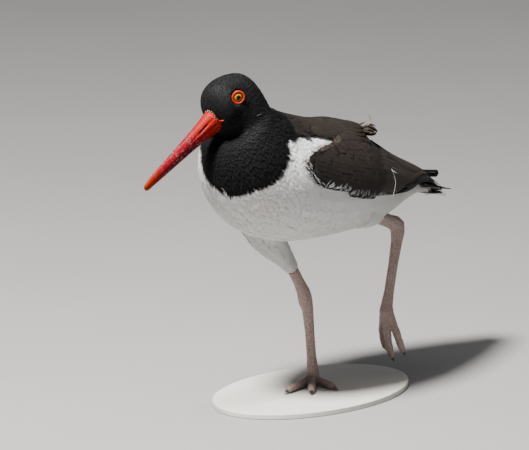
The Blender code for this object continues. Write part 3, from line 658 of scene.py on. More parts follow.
def claw_material():
    made, tree, shader = new_material("claw_horn")
    grain = object_noise(tree, 600.0, 4.0)
    tree.links.new(blend_colours(tree, grain, (0.012, 0.010, 0.010), (0.07, 0.055, 0.05)), shader.inputs["Base Color"])
    shader.inputs["Roughness"].default_value = 0.35
    bump(tree, shader, grain, 0.0002, 0.4)
    return made


def base_material():
    """Matt painted board with a fine grain."""
    made, tree, shader = new_material("stand_paint")
    grain = object_noise(tree, 1400.0, 5.0)
    cloud = object_noise(tree, 18.0)
    colour = blend_colours(tree, cloud, (0.52, 0.50, 0.46), (0.60, 0.58, 0.54))
    colour = blend_colours(tree, arithmetic(tree, "MULTIPLY", grain, 0.25), colour, (0.42, 0.40, 0.36))
    tree.links.new(colour, shader.inputs["Base Color"])
    shader.inputs["Roughness"].default_value = 0.62
    bump(tree, shader, grain, 0.0002, 0.35)
    return made


def floor_material():
    made, tree, shader = new_material("floor")
    tree.links.new(
        blend_colours(tree, object_noise(tree, 6.0), (0.24, 0.234, 0.229), (0.27, 0.264, 0.259)),
        shader.inputs["Base Color"],
    )
    shader.inputs["Roughness"].default_value = 0.85
    return made


# The head's black: its wide range of tones under fine noise is partly the feathers' own tone and partly painted
# highlight specks on small curved feathers.
BLACK = plumage("plumage_black", (0.0016, 0.0016, 0.0018), (0.0180, 0.0180, 0.0186), 0.60, 0.09, None, 900.0)
# The black again, darker in colour as painted shade for the bib, nape and bib's edge, which get less light than the
# head; its lower shine and rougher surface are the feathers' own.
SHADED_BLACK = plumage("plumage_black_shaded", (0.0024, 0.0024, 0.0026), (0.0095, 0.0095, 0.0099), 0.65, 0.08, None, 900.0)
# White plumage with its stains, and painted shade away from the shoulder.
WHITE = plumage("plumage_white", (0.72, 0.72, 0.73), (0.86, 0.86, 0.85), 0.8, 0.2, stains_and_painted_shade)
BROWN_SOFT = plumage("plumage_brown_soft", (0.006, 0.0044, 0.0036), (0.016, 0.0117, 0.0093), 0.65, 0.12, darker_front)
BARBS = plumage("plumage_barbs", (0.006, 0.0045, 0.0036), (0.034, 0.026, 0.021), 0.65, 0.12)
BROWN = vane_material("plumage_brown", (0.0064, 0.0049, 0.0041), (0.0175, 0.0133, 0.0109), (0.030, 0.023, 0.019),
                      (0.004, 0.0034, 0.003), (0.020, 0.011, 0.0075), 0.6, 0.5, darker_front)
FLIGHT = vane_material("plumage_flight", (0.0080, 0.0066, 0.0057), (0.0210, 0.0168, 0.0140), (0.060, 0.050, 0.042),
                       (0.022, 0.018, 0.015), (0.018, 0.011, 0.0075), 0.5)
PRIMARY = vane_material("plumage_primary", (0.0025, 0.0025, 0.0027), (0.007, 0.007, 0.007), (0.014, 0.013, 0.012),
                        (0.02, 0.018, 0.017), (0.006, 0.005, 0.005), 0.45, 0.3)
HORN = bill_material()
EYE = eye_material()
LID = lid_material()
LEG = leg_material()
CLAW = claw_material()


FLESH = ("head", "neck", "torso", "tail", "thigh_left", "thigh_right")
SKIN_VOXEL = 1.05 * MM


def flesh_mesh():
    """The flesh nodes in one mesh, each swollen a little so that the thin cuts between them close."""
    shape = bmesh.new()
    for name in FLESH:
        shape.from_mesh(NODES[name].data)
    bmesh.ops.delete(shape, geom=[v for v in shape.verts if v.co.y > place(-114, 0).y], context="VERTS")
    bmesh.ops.remove_doubles(shape, verts=shape.verts, dist=1e-6)
    bmesh.ops.holes_fill(shape, edges=shape.edges)
    bmesh.ops.recalc_face_normals(shape, faces=shape.faces)
    shape.normal_update()
    for vertex in shape.verts:
        vertex.co += vertex.normal * 0.22 * MM
    mesh = bpy.data.meshes.new("flesh")
    shape.to_mesh(mesh)
    shape.free()
    return mesh


def remeshed(mesh, voxel, turns):
    """One even surface round a mesh, its facets smoothed away."""
    thing = add_mesh("remesh_work", mesh, None)
    once = thing.modifiers.new("remesh", "REMESH")
    once.mode = "VOXEL"
    once.voxel_size = voxel
    soft = thing.modifiers.new("soft", "SMOOTH")
    soft.factor = 0.5
    soft.iterations = turns
    made = bpy.data.meshes.new_from_object(thing.evaluated_get(bpy.context.evaluated_depsgraph_get()))
    bpy.data.objects.remove(thing, do_unlink=True)
    return made


def skin_material():
    """Skin under the feathers, with their markings: black to the bib's edge, brown on the back, white below."""
    made, tree, shader = new_material("skin")
    mark = attribute(tree, "mark")
    colour = ramp(tree, mark, ((0.0, (0.74, 0.74, 0.74)), (0.5, (0.0024, 0.0024, 0.0026)), (1.0, (0.012, 0.009, 0.007))))
    tree.links.new(colour, shader.inputs["Base Color"])
    shader.inputs["Roughness"].default_value = 0.8
    shader.inputs["Specular IOR Level"].default_value = 0.08
    bump(tree, shader, object_noise(tree, 700.0), 0.0003, 0.5)
    return made


def bed(name, rows, side, low, high):
    """A thin curved plate on the shell under a tract of feathers, its front edge sunk in the coat."""
    lines, columns = 40, 24
    top, bottom = [], []
    for i in range(lines + 1):
        sunk = 2.6 * float(ease(0.10, 0.0, i / lines))
        at = i / lines * (len(rows) - 1)
        k = min(int(at), len(rows) - 2)
        first, last = (mix(rows[k][e], rows[k + 1][e], at - k) for e in (0, 1))
        spots = [mix(first, last, j / columns) for j in range(columns + 1)]
        drops = [sunk + 0.8 * float(ease(0.10, 0.0, j / columns)) for j in range(columns + 1)]
        top.append([on_shell(*spot, side, high - drop) for spot, drop in zip(spots, drops)])
        bottom.append([on_shell(*spot, side, low - drop) for spot, drop in zip(spots, drops)])
    rings = [a + b[::-1] for a, b in zip(top, bottom)]
    made = grid_mesh(name, rings, BROWN_SOFT)
    tone = made.data.attributes.new("tone", "FLOAT", "POINT")
    tone.data.foreach_set("value", np.full(len(made.data.vertices), 0.1))
    return made


def shell_form(side):
    """The wings' shell on one side as a surface to lay feathers on."""
    rings = []
    for ahead in np.arange(81, -158, -3.0):
        rings.append([on_shell(ahead, angle, side) for angle in np.arange(-14, 92, 4.0)])
    made = grid_mesh("shell_form", rings, None, closed=False, caps=False)
    mesh = made.data
    outward = sum(p.normal.x * side for p in mesh.polygons)
    if outward < 0:
        mesh.flip_normals()
    form = Form(mesh)
    bpy.data.objects.remove(made, do_unlink=True)
    return form


def thinned(form, keep, spacing, seed):
    """Evenly spread places on a form: one face in each occupied cell, thinned where cells crowd."""
    rng = np.random.default_rng(seed)
    order = rng.permutation(np.flatnonzero(keep))
    cells = np.floor(form.centres[order] / (spacing * MM) + rng.random(3)).astype(np.int64)
    _, first = np.unique(cells, axis=0, return_index=True)
    chosen = order[first]
    crowd = np.abs(form.normals[chosen]).sum(axis=1)
    chosen = chosen[rng.random(len(chosen)) < 1.15 / crowd]
    return chosen


def make_camera():
    level = math.cos(ELEVATION)
    back = Vector((math.sin(AZIMUTH) * level, -math.cos(AZIMUTH) * level, math.sin(ELEVATION)))
    right = Vector((math.cos(AZIMUTH), math.sin(AZIMUTH), 0))
    up = back.cross(right)
    across, down = ((PHOTO[k] / 2 - ANCHOR_PIXEL[k]) / PIXELS_PER_MM * MM for k in (0, 1))
    eye, target = ANCHOR + back * DISTANCE, ANCHOR + right * across - up * down
    data = bpy.data.cameras.new("camera")
    data.sensor_width = SENSOR
    data.lens = PIXELS_PER_MM / MM * DISTANCE / PHOTO[0] * SENSOR
    data.clip_end = 50.0
    made = bpy.data.objects.new("camera", data)
    bpy.context.scene.collection.objects.link(made)
    away = (eye - target).normalized()
    side = (right - away * right.dot(away)).normalized()
    made.matrix_world = Matrix.Translation(eye) @ Matrix((side, away.cross(side), away)).transposed().to_4x4()
    bpy.context.scene.camera = made
    return back, right


def area_light(name, towards, direction, distance, size, power, colour=(1, 1, 1)):
    data = bpy.data.lights.new(name, "AREA")
    data.shape = "DISK"
    data.size = size
    data.energy = power
    data.color = colour
    made = bpy.data.objects.new(name, data)
    bpy.context.scene.collection.objects.link(made)
    made.location = towards + direction.normalized() * distance
    made.rotation_euler = direction.to_track_quat("Z", "Y").to_euler()


def make_lights(back, right):
    """A soft key from the left in front of the bird, a wide top light and a faint fill."""
    level = Vector((back.x, back.y, 0)).normalized()
    up = Vector((0, 0, 1))
    middle = place(0, 120)
    area_light("key", middle, level * 0.46 - right * 0.36 + up * 1.05, 1.6, 0.32, 132.0, (1.0, 0.985, 0.96))
    area_light("top", middle, up + level * 0.1, 1.5, 1.2, 6.0)
    area_light("fill", middle, right + level * 0.8 + up * 0.25, 1.8, 1.2, 1.5, (0.95, 0.97, 1.0))
    world = bpy.data.worlds.new("studio")
    world.use_nodes = True
    sky = world.node_tree.nodes["Background"]
    sky.inputs["Color"].default_value = (0.90, 0.93, 1.0, 1)
    sky.inputs["Strength"].default_value = 0.14
    bpy.context.scene.world = world


def make_floor():
    bpy.ops.mesh.primitive_plane_add(size=8.0, location=(0, 0, 0))
    made = bpy.context.active_object
    made.name = "floor"
    made.data.materials.append(floor_material())


EYE_CENTRES = [np.array(in_head(-EYE_BACK, -EYE_LOW, side * EYE_SIDE)) for side in (1, -1)]
BEAK = np.array(place(*BILL_ROOT))
STRAIGHT_BACK = np.array((0.0, 1.0, 0.0))


def ahead_of_bib(points):
    """Millimetres by which points lie on the black side of the bib's edge."""
    (a, b), (c, d) = BIB_EDGE
    run = math.hypot(c - a, d - b)
    ahead, height = FOOT_Y - points[:, 1] / MM, points[:, 2] / MM - FLOOR
    past = ((ahead - a) * (d - b) - (height - b) * (c - a)) / run
    along = ((ahead - (a + c) / 2) * (c - a) + (height - (b + d) / 2) * (d - b)) / run
    turn = np.degrees(np.arctan2(points[:, 0] / MM, along)) % 360
    return past - np.interp(turn, BIB_TURNS, BIB_STEPS)


def head_measure(points):
    """Along, above and left of points in the head's measure, the inverse of in_head."""
    around = np.array(points) / MM - np.array((0, FOOT_Y - TURN_PIVOT, FLOOR))
    cos, sin = math.cos(HEAD_TURN), math.sin(HEAD_TURN)
    left, back = cos * around[:, 0] - sin * around[:, 1], sin * around[:, 0] + cos * around[:, 1]
    ahead, up = TURN_PIVOT - back - BETWEEN_EYES[0], around[:, 2] - BETWEEN_EYES[1]
    dip_cos, dip_sin = math.cos(HEAD_DIP), math.sin(HEAD_DIP)
    return ahead * dip_cos - up * dip_sin, ahead * dip_sin + up * dip_cos, left


def joined(meshes):
    """One tree for the surfaces of several meshes, and which mesh each of its faces is from."""
    corners, faces, owner = [], [], []
    for k, mesh in enumerate(meshes):
        start = len(corners)
        corners += [v.co.copy() for v in mesh.vertices]
        faces += [tuple(start + i for i in p.vertices) for p in mesh.polygons]
        owner += [k] * len(mesh.polygons)
    return BVHTree.FromPolygons(corners, faces), owner


def owners(points):
    """Which flesh node lies nearest each point, as an index into FLESH."""
    tree, owner = joined([NODES[name].data for name in FLESH])
    return np.array([owner[tree.find_nearest(Vector(p))[2]] for p in points])


def gaps_to(tree, points, reach):
    """Distance from each point to a tree's surface, in millimetres, up to reach."""
    made = np.full(len(points), float(reach))
    for i, point in enumerate(points):
        found = tree.find_nearest(Vector(point), reach * MM)
        if found[3] is not None:
            made[i] = found[3] / MM
    return made


def under(tree, points, normals, reach=14 * MM):
    """Whether a surface lies over each point, within reach along its normal."""
    hits = (tree.ray_cast(Vector(p), Vector(n), reach)[0] for p, n in zip(points, normals))
    return np.array([hit is not None for hit in hits])


def tangent(ways, normals):
    flat = ways - normals * (ways * normals).sum(axis=1)[:, None]
    return flat / (np.linalg.norm(flat, axis=1, keepdims=True) + 1e-12)


def shell_place(points):
    """Ahead and degrees round the shell of points on it."""
    rows = np.array(SHELL)
    ahead = FOOT_Y - points[:, 1] / MM
    height = points[:, 2] / MM - FLOOR
    top = np.interp(ahead, rows[:, 0], rows[:, 1])
    low = np.interp(ahead, rows[:, 2], rows[:, 3])
    return ahead, np.degrees(np.arcsin(np.clip(2 * (height - low) / (top - low) - 1, -1, 1)))


def skin_piece(form_mesh):
    """The skin: the flesh's surface drawn in by the depth of the coat, with the plumage's markings."""
    mesh = form_mesh.copy()
    count = len(mesh.vertices)
    points, normals = np.empty(count * 3), np.empty(count * 3)
    mesh.vertices.foreach_get("co", points)
    mesh.vertices.foreach_get("normal", normals)
    points, normals = points.reshape(-1, 3), normals.reshape(-1, 3)
    away = np.linalg.norm(points - BEAK, axis=1) / MM
    depth = np.interp(away, (8, 30, 60, 110), (0.5, 0.7, 0.9, 1.1))
    depth = np.where(points[:, 2] / MM < 112, 0.9, depth)
    mesh.vertices.foreach_set("co", (points - normals * depth[:, None] * MM).reshape(-1))
    ahead, angle = shell_place(points)
    mark = 0.5 * ease(-0.7, 0.7, ahead_of_bib(points) - 1.5)
    brown = ease(50, 60, angle) * (mark < 0.25) * ease(-108, -100, ahead)
    layer = mesh.attributes.new("mark", "FLOAT", "POINT")
    layer.data.foreach_set("value", np.maximum(mark, brown))
    mesh.shade_smooth()
    made = add_mesh("skin", mesh, skin_material())
    return finish_piece(made, "plumage_white", *FLESH)


# Lines down the feathered thighs, hip to knee.
THIGH_LINES = (("thigh_right", (48, 128, -17), (22, 87, -8)), ("thigh_left", (-12, 130, 24), (-48, 117, 18)))


def lie(points, owner):
    """Which way the feathers lie: away from the bill, then straight back, and down the thighs."""
    ways = points - BEAK
    ways /= np.linalg.norm(ways, axis=1, keepdims=True)
    rear = 0.75 * ease(40, -40, FOOT_Y - points[:, 1] / MM)[:, None]
    ways = ways * (1 - rear) + STRAIGHT_BACK * rear
    for name, hip, knee in THIGH_LINES:
        ways[owner == FLESH.index(name)] = np.array((place(*knee) - place(*hip)).normalized())
    return ways


PIECE_TRIANGLES = 170_000
BARB_TRIANGLES = 14


def coat(form, covers):
    """Body feathers over the whole skin, black to the bib's edge and white behind it."""
    points, normals = form.centres, form.normals
    owner = owners(points)
    away = np.linalg.norm(points - BEAK, axis=1) / MM
    eye_gap = np.minimum(*[np.linalg.norm(points - c, axis=1) / MM for c in EYE_CENTRES])
    bill_gap = gaps_to(joined([NODES["bill_upper"].data, NODES["bill_lower"].data])[0], points, 6.0)
    bare = (eye_gap < 5.9) | (bill_gap < 0.75) | (points[:, 1] > place(-112, 0).y)
    head = owner == FLESH.index("head")
    thigh = (owner == FLESH.index("thigh_right")) | (owner == FLESH.index("thigh_left"))
    hidden = under(covers, points, normals) & under(covers, points - np.array((0, 0, 3.5 * MM)), normals)
    edge_gap = gaps_to(covers, points, 9.0)
    length = np.interp(away, (8, 16, 35, 60, 90, 140), (1.6, 2.2, 3.4, 6.0, 9.0, 12.0))
    length = np.minimum(length, 1.0 + 0.85 * np.clip(eye_gap - 6.0, 0, 20))
    length = np.where(thigh, np.where(points[:, 0] < 0, 8.0, 4.5), length)
    length = np.minimum(length, np.clip(FOOT_Y - points[:, 1] / MM + 115, 3, 20))
    ways = tangent(lie(points, owner), normals)
    past = ahead_of_bib(points + ways * (0.85 * MM) * length[:, None])
    past += 0.5 * np.sin(points[:, 0] / MM * 0.9) + 0.4 * np.sin(points[:, 2] / MM * 1.7)
    black, white = past > 0, (past <= 0) & ~thigh & ~hidden
    nape = (edge_gap < 8.5) & (points[:, 2] > place(0, 192).z)
    length = np.where(nape & ~hidden, length + 2.5, length)
    tracts = (
        ("face", black & head & (away < 34), 1.0, 3, 0.34, (-0.55, -0.38), BLACK, 0.03, 0.7),
        ("crown", black & head & (away >= 34), 1.25, 3, 0.36, (-0.75, -0.42), BLACK, 0.03, 0.75),
        # Nape, bib and the bib's edge take the darker black, which is painted shade.
        ("nape", black & ~head & nape, 1.5, 7, 0.42, (-0.6, 1.9), SHADED_BLACK, 0.02, 0.9),
        ("bib", black & ~head & ~nape & (past >= 6), 2.0, 7, 0.42, (-0.7, 0.12), SHADED_BLACK, 0.02, 0.9),
        ("bib_edge", black & ~head & ~nape & (past < 6), 1.15, 3, 0.36, (-0.7, 0.30), SHADED_BLACK, 0.04, 0.85),
        ("breast", white & (edge_gap > 8.9), 2.5, 9, 0.50, (-0.9, 0.10), WHITE, 0.02, 0.94),
        ("flank", white & (edge_gap <= 8.9), 1.9, 7, 0.50, (-0.9, 0.45), WHITE, 0.03, 0.95),
        ("thighs", thigh & ~black, 2.0, 7, 0.42, (-0.8, 0.35), WHITE, 0.06, 0.92),
    )
    for seed, (name, keep, spacing, barbs, thin, lifts, paint, curl, soft) in enumerate(tracts):
        chosen = thinned(form, keep & ~bare, spacing, seed)
        chosen = chosen[np.argsort(points[chosen, 1])]
        slot = "plumage_white" if paint is WHITE else "plumage_black"
        parts = math.ceil(len(chosen) * barbs * BARB_TRIANGLES / PIECE_TRIANGLES)
        for k, part in enumerate(np.array_split(chosen, parts)):
            reach = length[part] * MM
            fan = 0.16 if barbs == 3 else 0.34
            plumes(f"coat_{name}_{k}", form, points[part], ways[part], reach, reach * fan, lifts, barbs, thin,
                   paint, slot, 10 * seed + k, curl, soft)


def bill_border(forms):
    """Short feathers over the bill's root: how far they reach along it depends on how high they grow."""
    for k, form in enumerate(forms):
        along, above, _ = head_measure(form.centres)
        reach = np.interp(above, (-18, -15, -12.8, -11.2, -10.6, -8.9, -8.5, -7, -2), (21, 22, 22.6, 21, 15, 15, 19, 20.5, 20))
        wave = 0.5 * np.sin(above * 2.9 + form.centres[:, 0] / MM * 2.3)
        near = (along < reach + wave) & (along > 15)
        chosen = thinned(form, near, 0.85, 90 + k)
        count = len(chosen)
        ways = np.tile(np.array(in_head(-1, 0.25, 0) - in_head(0, 0, 0)), (count, 1))
        ways = tangent(ways, form.normals[chosen])
        plumes(f"bill_border_{k}", form, form.centres[chosen], ways, np.full(count, 2.6 * MM), np.full(count, 0.7 * MM),
               (0.0, 0.75), 3, 0.34, BLACK, "plumage_black", 90 + k, 0.05)
        pale = chosen[(above[chosen] > -8) & (along[chosen] > reach[chosen] - 1.6)][::3]
        if len(pale):
            plumes(f"bill_specks_{k}", form, form.centres[pale], ways[:len(pale)], np.full(len(pale), 1.3 * MM),
                   np.full(len(pale), 0.5 * MM), (0.3, 0.95), 3, 0.4, TAN, "plumage_white", 95 + k, 0.1)


def wing_ways(points, normals):
    """Lie of the wing's coverts: back along the top, and down over the side."""
    ahead, angle = shell_place(points)
    droop = np.radians(56 * (1 - ease(46, 80, angle)) * (0.3 + 0.7 * ease(-100, -40, ahead)))
    droop *= 1 - ease(46, 53, angle) * ease(-4, 10, ahead)
    rear = tangent(np.tile(STRAIGHT_BACK, (len(points), 1)), normals)
    down = np.cross(rear, normals)
    down *= np.where(down[:, 2:3] > 0, -1.0, 1.0)
    return rear * np.cos(droop)[:, None] + down * np.sin(droop)[:, None]


# Long feathers of the wing: count, roots and tips (low and high end), width, lifts of root and tip, colour.
# A pair of tip lifts runs from the low end of the row to its high end.
LONG_ROWS = (
    ("primaries", 7, ((-50, 10), (-84, 60)), ((-92, 34), (-127, 50)), 7.0, (1.1, 1.9), "primary"),
    ("secondaries", 10, ((-2, 1), (-48, 42)), ((-44, 4), (-86, 42)), 9.0, (1.4, 2.3), "flight"),
    ("inner_secondaries", 8, ((-14, 20), (-40, 60)), ((-60, 16), (-102, 50)), 9.0, (1.6, 2.6), "flight"),
    ("tertials", 7, ((-32, 44), (-40, 82)), ((-80, 42), (-112, 76)), 11.0, (1.9, 2.9), "flight"),
    ("under_scapulars", 8, ((2, 56), (-6, 88)), ((-19, 54), (-31, 87)), 12.0, (1.2, (1.8, 3.4)), "brown"),
    ("middle_scapulars", 8, ((3, 57), (-5, 88)), ((-17, 54), (-29, 87)), 12.0, (1.3, (2.2, 5.4)), "brown"),
    ("low_scapulars", 7, ((0, 54), (-8, 88)), ((-20, 52), (-32, 87)), 11.0, (1.6, (2.4, 3.4)), "brown"),
    ("scapulars", 8, ((4, 57), (-4, 88)), ((-15, 54), (-27, 87)), 12.0, (1.4, (2.6, 7.2)), "brown"),
)


def wing(word, side, seed):
    """One folded wing: beds, long feathers in rows, and coverts and scapulars over their roots."""
    form = shell_form(side)
    wing_bed = bed("wing_bed_" + word, WING_BED, side, 0.75, 1.2)
    mantle_bed = bed("mantle_bed_" + word, MANTLE_BED, side, 0.7, 1.15)
    for made in (wing_bed, mantle_bed):
        finish_piece(made, "plumage_brown", "wing_" + word)
    covers = joined([wing_bed.data, mantle_bed.data])[0]
    paints = {"primary": PRIMARY, "flight": FLIGHT, "brown": BROWN}
    for row, count, roots, tips, width, lifts, paint in LONG_ROWS:
        shares = np.linspace(0, 1, count)
        starts = np.array([on_shell(*mix(*roots, t), side) for t in shares])
        ends = np.array([on_shell(*mix(*tips, t), side) for t in shares])
        ways = ends - starts
        lengths = np.linalg.norm(ways, axis=1)
        rise = (lifts[0], np.interp(shares, (0, 0.5, 1), (lifts[1][0], *[lifts[1][-1]] * 2))) if isinstance(
            lifts[1], tuple) else lifts
        vanes(f"{row}_{word}", form, starts, ways / lengths[:, None], lengths * 1.01, np.full(count, width * MM),
              rise, paints[paint], "plumage_brown", seed, point=0.25)
    points, normals = form.centres, form.normals
    ahead, angle = shell_place(points)
    inside = under(covers, points, normals) & (points[:, 0] * side > 0.8 * MM)
    front = ahead > np.where(angle < 50, 4 - 1.1 * (angle - 3), -8)
    chosen = thinned(form, inside & front, 3.1, seed)
    ways = wing_ways(points[chosen], normals[chosen])
    reach = np.interp(ahead[chosen], (-40, 0, 30, 60), (17, 14, 11, 8)) * MM
    for share in (1.0, 0.6):
        tips = [form.nearest(p)[0] for p in points[chosen] + ways * reach[:, None]]
        out = gaps_to(covers, tips, 6.0) > 1.7
        reach = np.where(out, reach * 0.6, reach)
    keep = ~out
    vanes("coverts_" + word, form, points[chosen][keep], ways[keep], reach[keep], reach[keep] * 0.45 + 1.5 * MM,
          (1.0, 1.75), BROWN, "plumage_brown", seed + 1, curl=0.02)
    return covers


# The wing's edge on the shell, from the top of the shoulder forward, down and back, and a point within it.
WING_EDGE = (
    (10.7, 55), (23.6, 47), (37.2, 39), (48, 34), (56, 28), (63.6, 18), (66.9, 12), (62.9, 8), (59.2, 5),
    (53.9, 2), (42.7, 0), (30.9, -2), (18.3, -5), (2.2, -9.5), (-11.5, -9.5), (-36, -7.5),
)
WING_HEART = (14, 26)
DEGREE = 0.8


def edge_strands(name, form, side, first, last, count, outside, leaning, lengths, lifts, barbs, thin, paint, slot,
                 seed):
    """Loose strands along a stretch of the wing's edge.

    outside is how far beyond the edge they are rooted, and leaning how they point: outwards by its first
    number, ahead by its second and up by its third.
    """
    rng = np.random.default_rng(seed)
    roots, ways = [], []
    for number in range(count):
        at = first + (last - first) * (number + rng.random()) / count
        k = min(int(at), len(WING_EDGE) - 2)
        ahead, angle = mix(WING_EDGE[k], WING_EDGE[k + 1], at - k)
        out = np.array((ahead - WING_HEART[0], (angle - WING_HEART[1]) * DEGREE))
        out /= np.linalg.norm(out)
        beyond = rng.uniform(*outside)
        ahead, angle = ahead + out[0] * beyond, angle + out[1] * beyond / DEGREE
        run = out * leaning[0] + np.array(leaning[1:]) + 0.28 * rng.normal(size=2)
        run *= 4 / np.linalg.norm(run)
        start = np.array(on_shell(ahead, angle, side))
        end = np.array(on_shell(ahead + run[0], angle + run[1] / DEGREE, side))
        roots.append(start)
        ways.append((end - start) / np.linalg.norm(end - start))
    size = rng.uniform(*lengths, size=count) * MM
    plumes(name, form, np.array(roots), np.array(ways), size, size * 0.13, lifts, barbs, thin, paint, slot, seed, 0.08)


def edge_wisps(word, side, seed):
    """Dark spikes over the white at the wing's front, and white strands of the flank over its lower edge."""
    form = shell_form(side)
    edge_strands("front_barbs_" + word, form, side, 0.0, 9.8, 150, (-3.8, -1.0), (1.0, 0.15, 0.25), (2.4, 4.4),
                 (1.2, 1.4), 3, 0.40, BARBS, "plumage_brown", seed)
    edge_strands("front_spikes_" + word, form, side, 0.3, 9.8, 105, (-3.4, -0.8), (1.0, 0.20, 0.25), (4.0, 7.4),
                 (1.5, 1.3), 1, 0.72, BARBS, "plumage_brown", seed + 4)
    edge_strands("front_fringe_" + word, form, side, 0.5, 3.4, 60, (-4.0, 0.2), (1.0, 0.0, 0.2), (2.4, 4.2),
                 (1.8, 2.0), 1, 0.42, FRINGE, "plumage_brown", seed + 1)
    edge_strands("edge_wisps_" + word, form, side, 5.0, 8.8, 15, (-0.6, 1.8), (0.15, -0.8, -0.55), (3.0, 5.4),
                 (1.7, 1.9), 1, 0.20, WHITE, "plumage_white", seed + 2)
    edge_strands("low_wisps_" + word, form, side, 9.2, 14.2, 84, (0.4, 4.2), (-0.55, -0.6, 0.6), (3.2, 6.6),
                 (1.3, 2.8), 1, 0.26, WHITE, "plumage_white", seed + 3)


def free_feathers(name, feathers, profile, thick, paint, slot, soft=0.5):
    """Feathers on curves of their own: each a path of places, the way its flat side's edge points, and a width."""
    shares = np.array((0.0, 0.13, 0.27, 0.42, 0.57, 0.72, 0.85, 0.93, 0.975, 1.0))
    points, sides, normals, halves, roots = [], [], [], [], []
    for path, edge, width, tip in feathers:
        line = np.array([place(*smooth(path, t * (len(path) - 1))) for t in shares])
        run = np.gradient(line, shares, axis=0)
        run /= np.linalg.norm(run, axis=1, keepdims=True)
        side = tangent(np.tile(np.array(edge, float), (len(shares), 1)), run)
        points.append(line)
        sides.append(side)
        normals.append(np.cross(side, run))
        fall = np.clip((1 - shares) / tip, 0.08, 1.0) ** 0.6
        halves.append(width / 2 * MM * np.minimum(0.55 + 1.8 * shares, 1.0) * fall)
        roots.append(line[0])
    halves = np.array(halves)
    highs = np.full(halves.shape, thick / 2 * MM)
    tones = np.linspace(0.1, 0.9, len(points))
    home = unwrap(np.array(roots))
    made = feather_mesh(name, np.array(points), np.array(sides), np.array(normals), halves, highs, profile, home,
                        tones, paint, soft=soft)
    return finish_piece(made, slot)


UPRIGHT, LEVEL = (0, 0, 1), (1, 0, 0)


def wing_tips():
    """Stacked primaries: the right wing's rounded blade, the left wing's wedge, and the edge below the left wing."""
    free_feathers("right_primaries", (
        (((-96, 139.6, -9.5), (-115, 135.0, -5), (-134.0, 131.8, -2.2)), UPRIGHT, 5.3, 0.055),
        (((-96, 139.2, -10.2), (-113, 135.0, -5.7), (-127.0, 132.6, -3.6)), UPRIGHT, 3.4, 0.1),
        (((-96, 139.8, -8.8), (-112, 135.4, -4.3), (-123.5, 133.2, -2.2)), UPRIGHT, 3.0, 0.1),
    ), VANE, 0.6, PRIMARY, "plumage_brown")
    free_feathers("left_primaries", (
        (((-88, 137.4, 17.4), (-105, 131.1, 13.6), (-120.5, 125.5, 10.3), (-138, 120.9, 6.2)), UPRIGHT, 3.0, 1.0),
        (((-86, 136.8, 18.6), (-100, 131.9, 15.8), (-114, 127.6, 12.4)), UPRIGHT, 4.2, 0.8),
        (((-84, 136.4, 19.6), (-96, 132.6, 17.4), (-106, 129.6, 15.2)), UPRIGHT, 4.6, 0.7),
    ), VANE, 0.6, PRIMARY, "plumage_brown")
    free_feathers("primary_edge_left", (
        (((-37, 140.4, 39.4), (-51, 139.9, 36.6), (-62.5, 139.7, 33.4), (-73, 139.6, 29.6)), UPRIGHT, 3.4, 0.5),
        (((-42, 140.6, 38.6), (-56, 140.4, 35.4), (-68, 140.0, 31.6)), UPRIGHT, 3.4, 0.5),
    ), VANE, 0.5, PRIMARY, "plumage_brown")


# Pale feather edges that fan over the folded wing's end: from and to, ahead and degrees round the shell.
FAN_LINES = (
    ((-58, 72), (-50, 6)), ((-61, 73), (-55, 9)), ((-64, 73), (-61, 12)), ((-67, 71), (-66, 17)),
    ((-69, 68), (-71, 20)), ((-71, 65), (-76, 23)), ((-73, 61), (-81, 28)), ((-78, 62), (-87, 34)),
)


def fan_lines(word, side):
    form = shell_form(side)
    starts = np.array([on_shell(*line[0], side) for line in FAN_LINES])
    ways = np.array([on_shell(*line[1], side) for line in FAN_LINES]) - starts
    lengths = np.linalg.norm(ways, axis=1)
    vanes("feather_edges_" + word, form, starts, ways / lengths[:, None], lengths, np.full(len(starts), 0.6 * MM),
          (2.9, 2.7), BARBS, "plumage_brown", 5, curl=0.015)


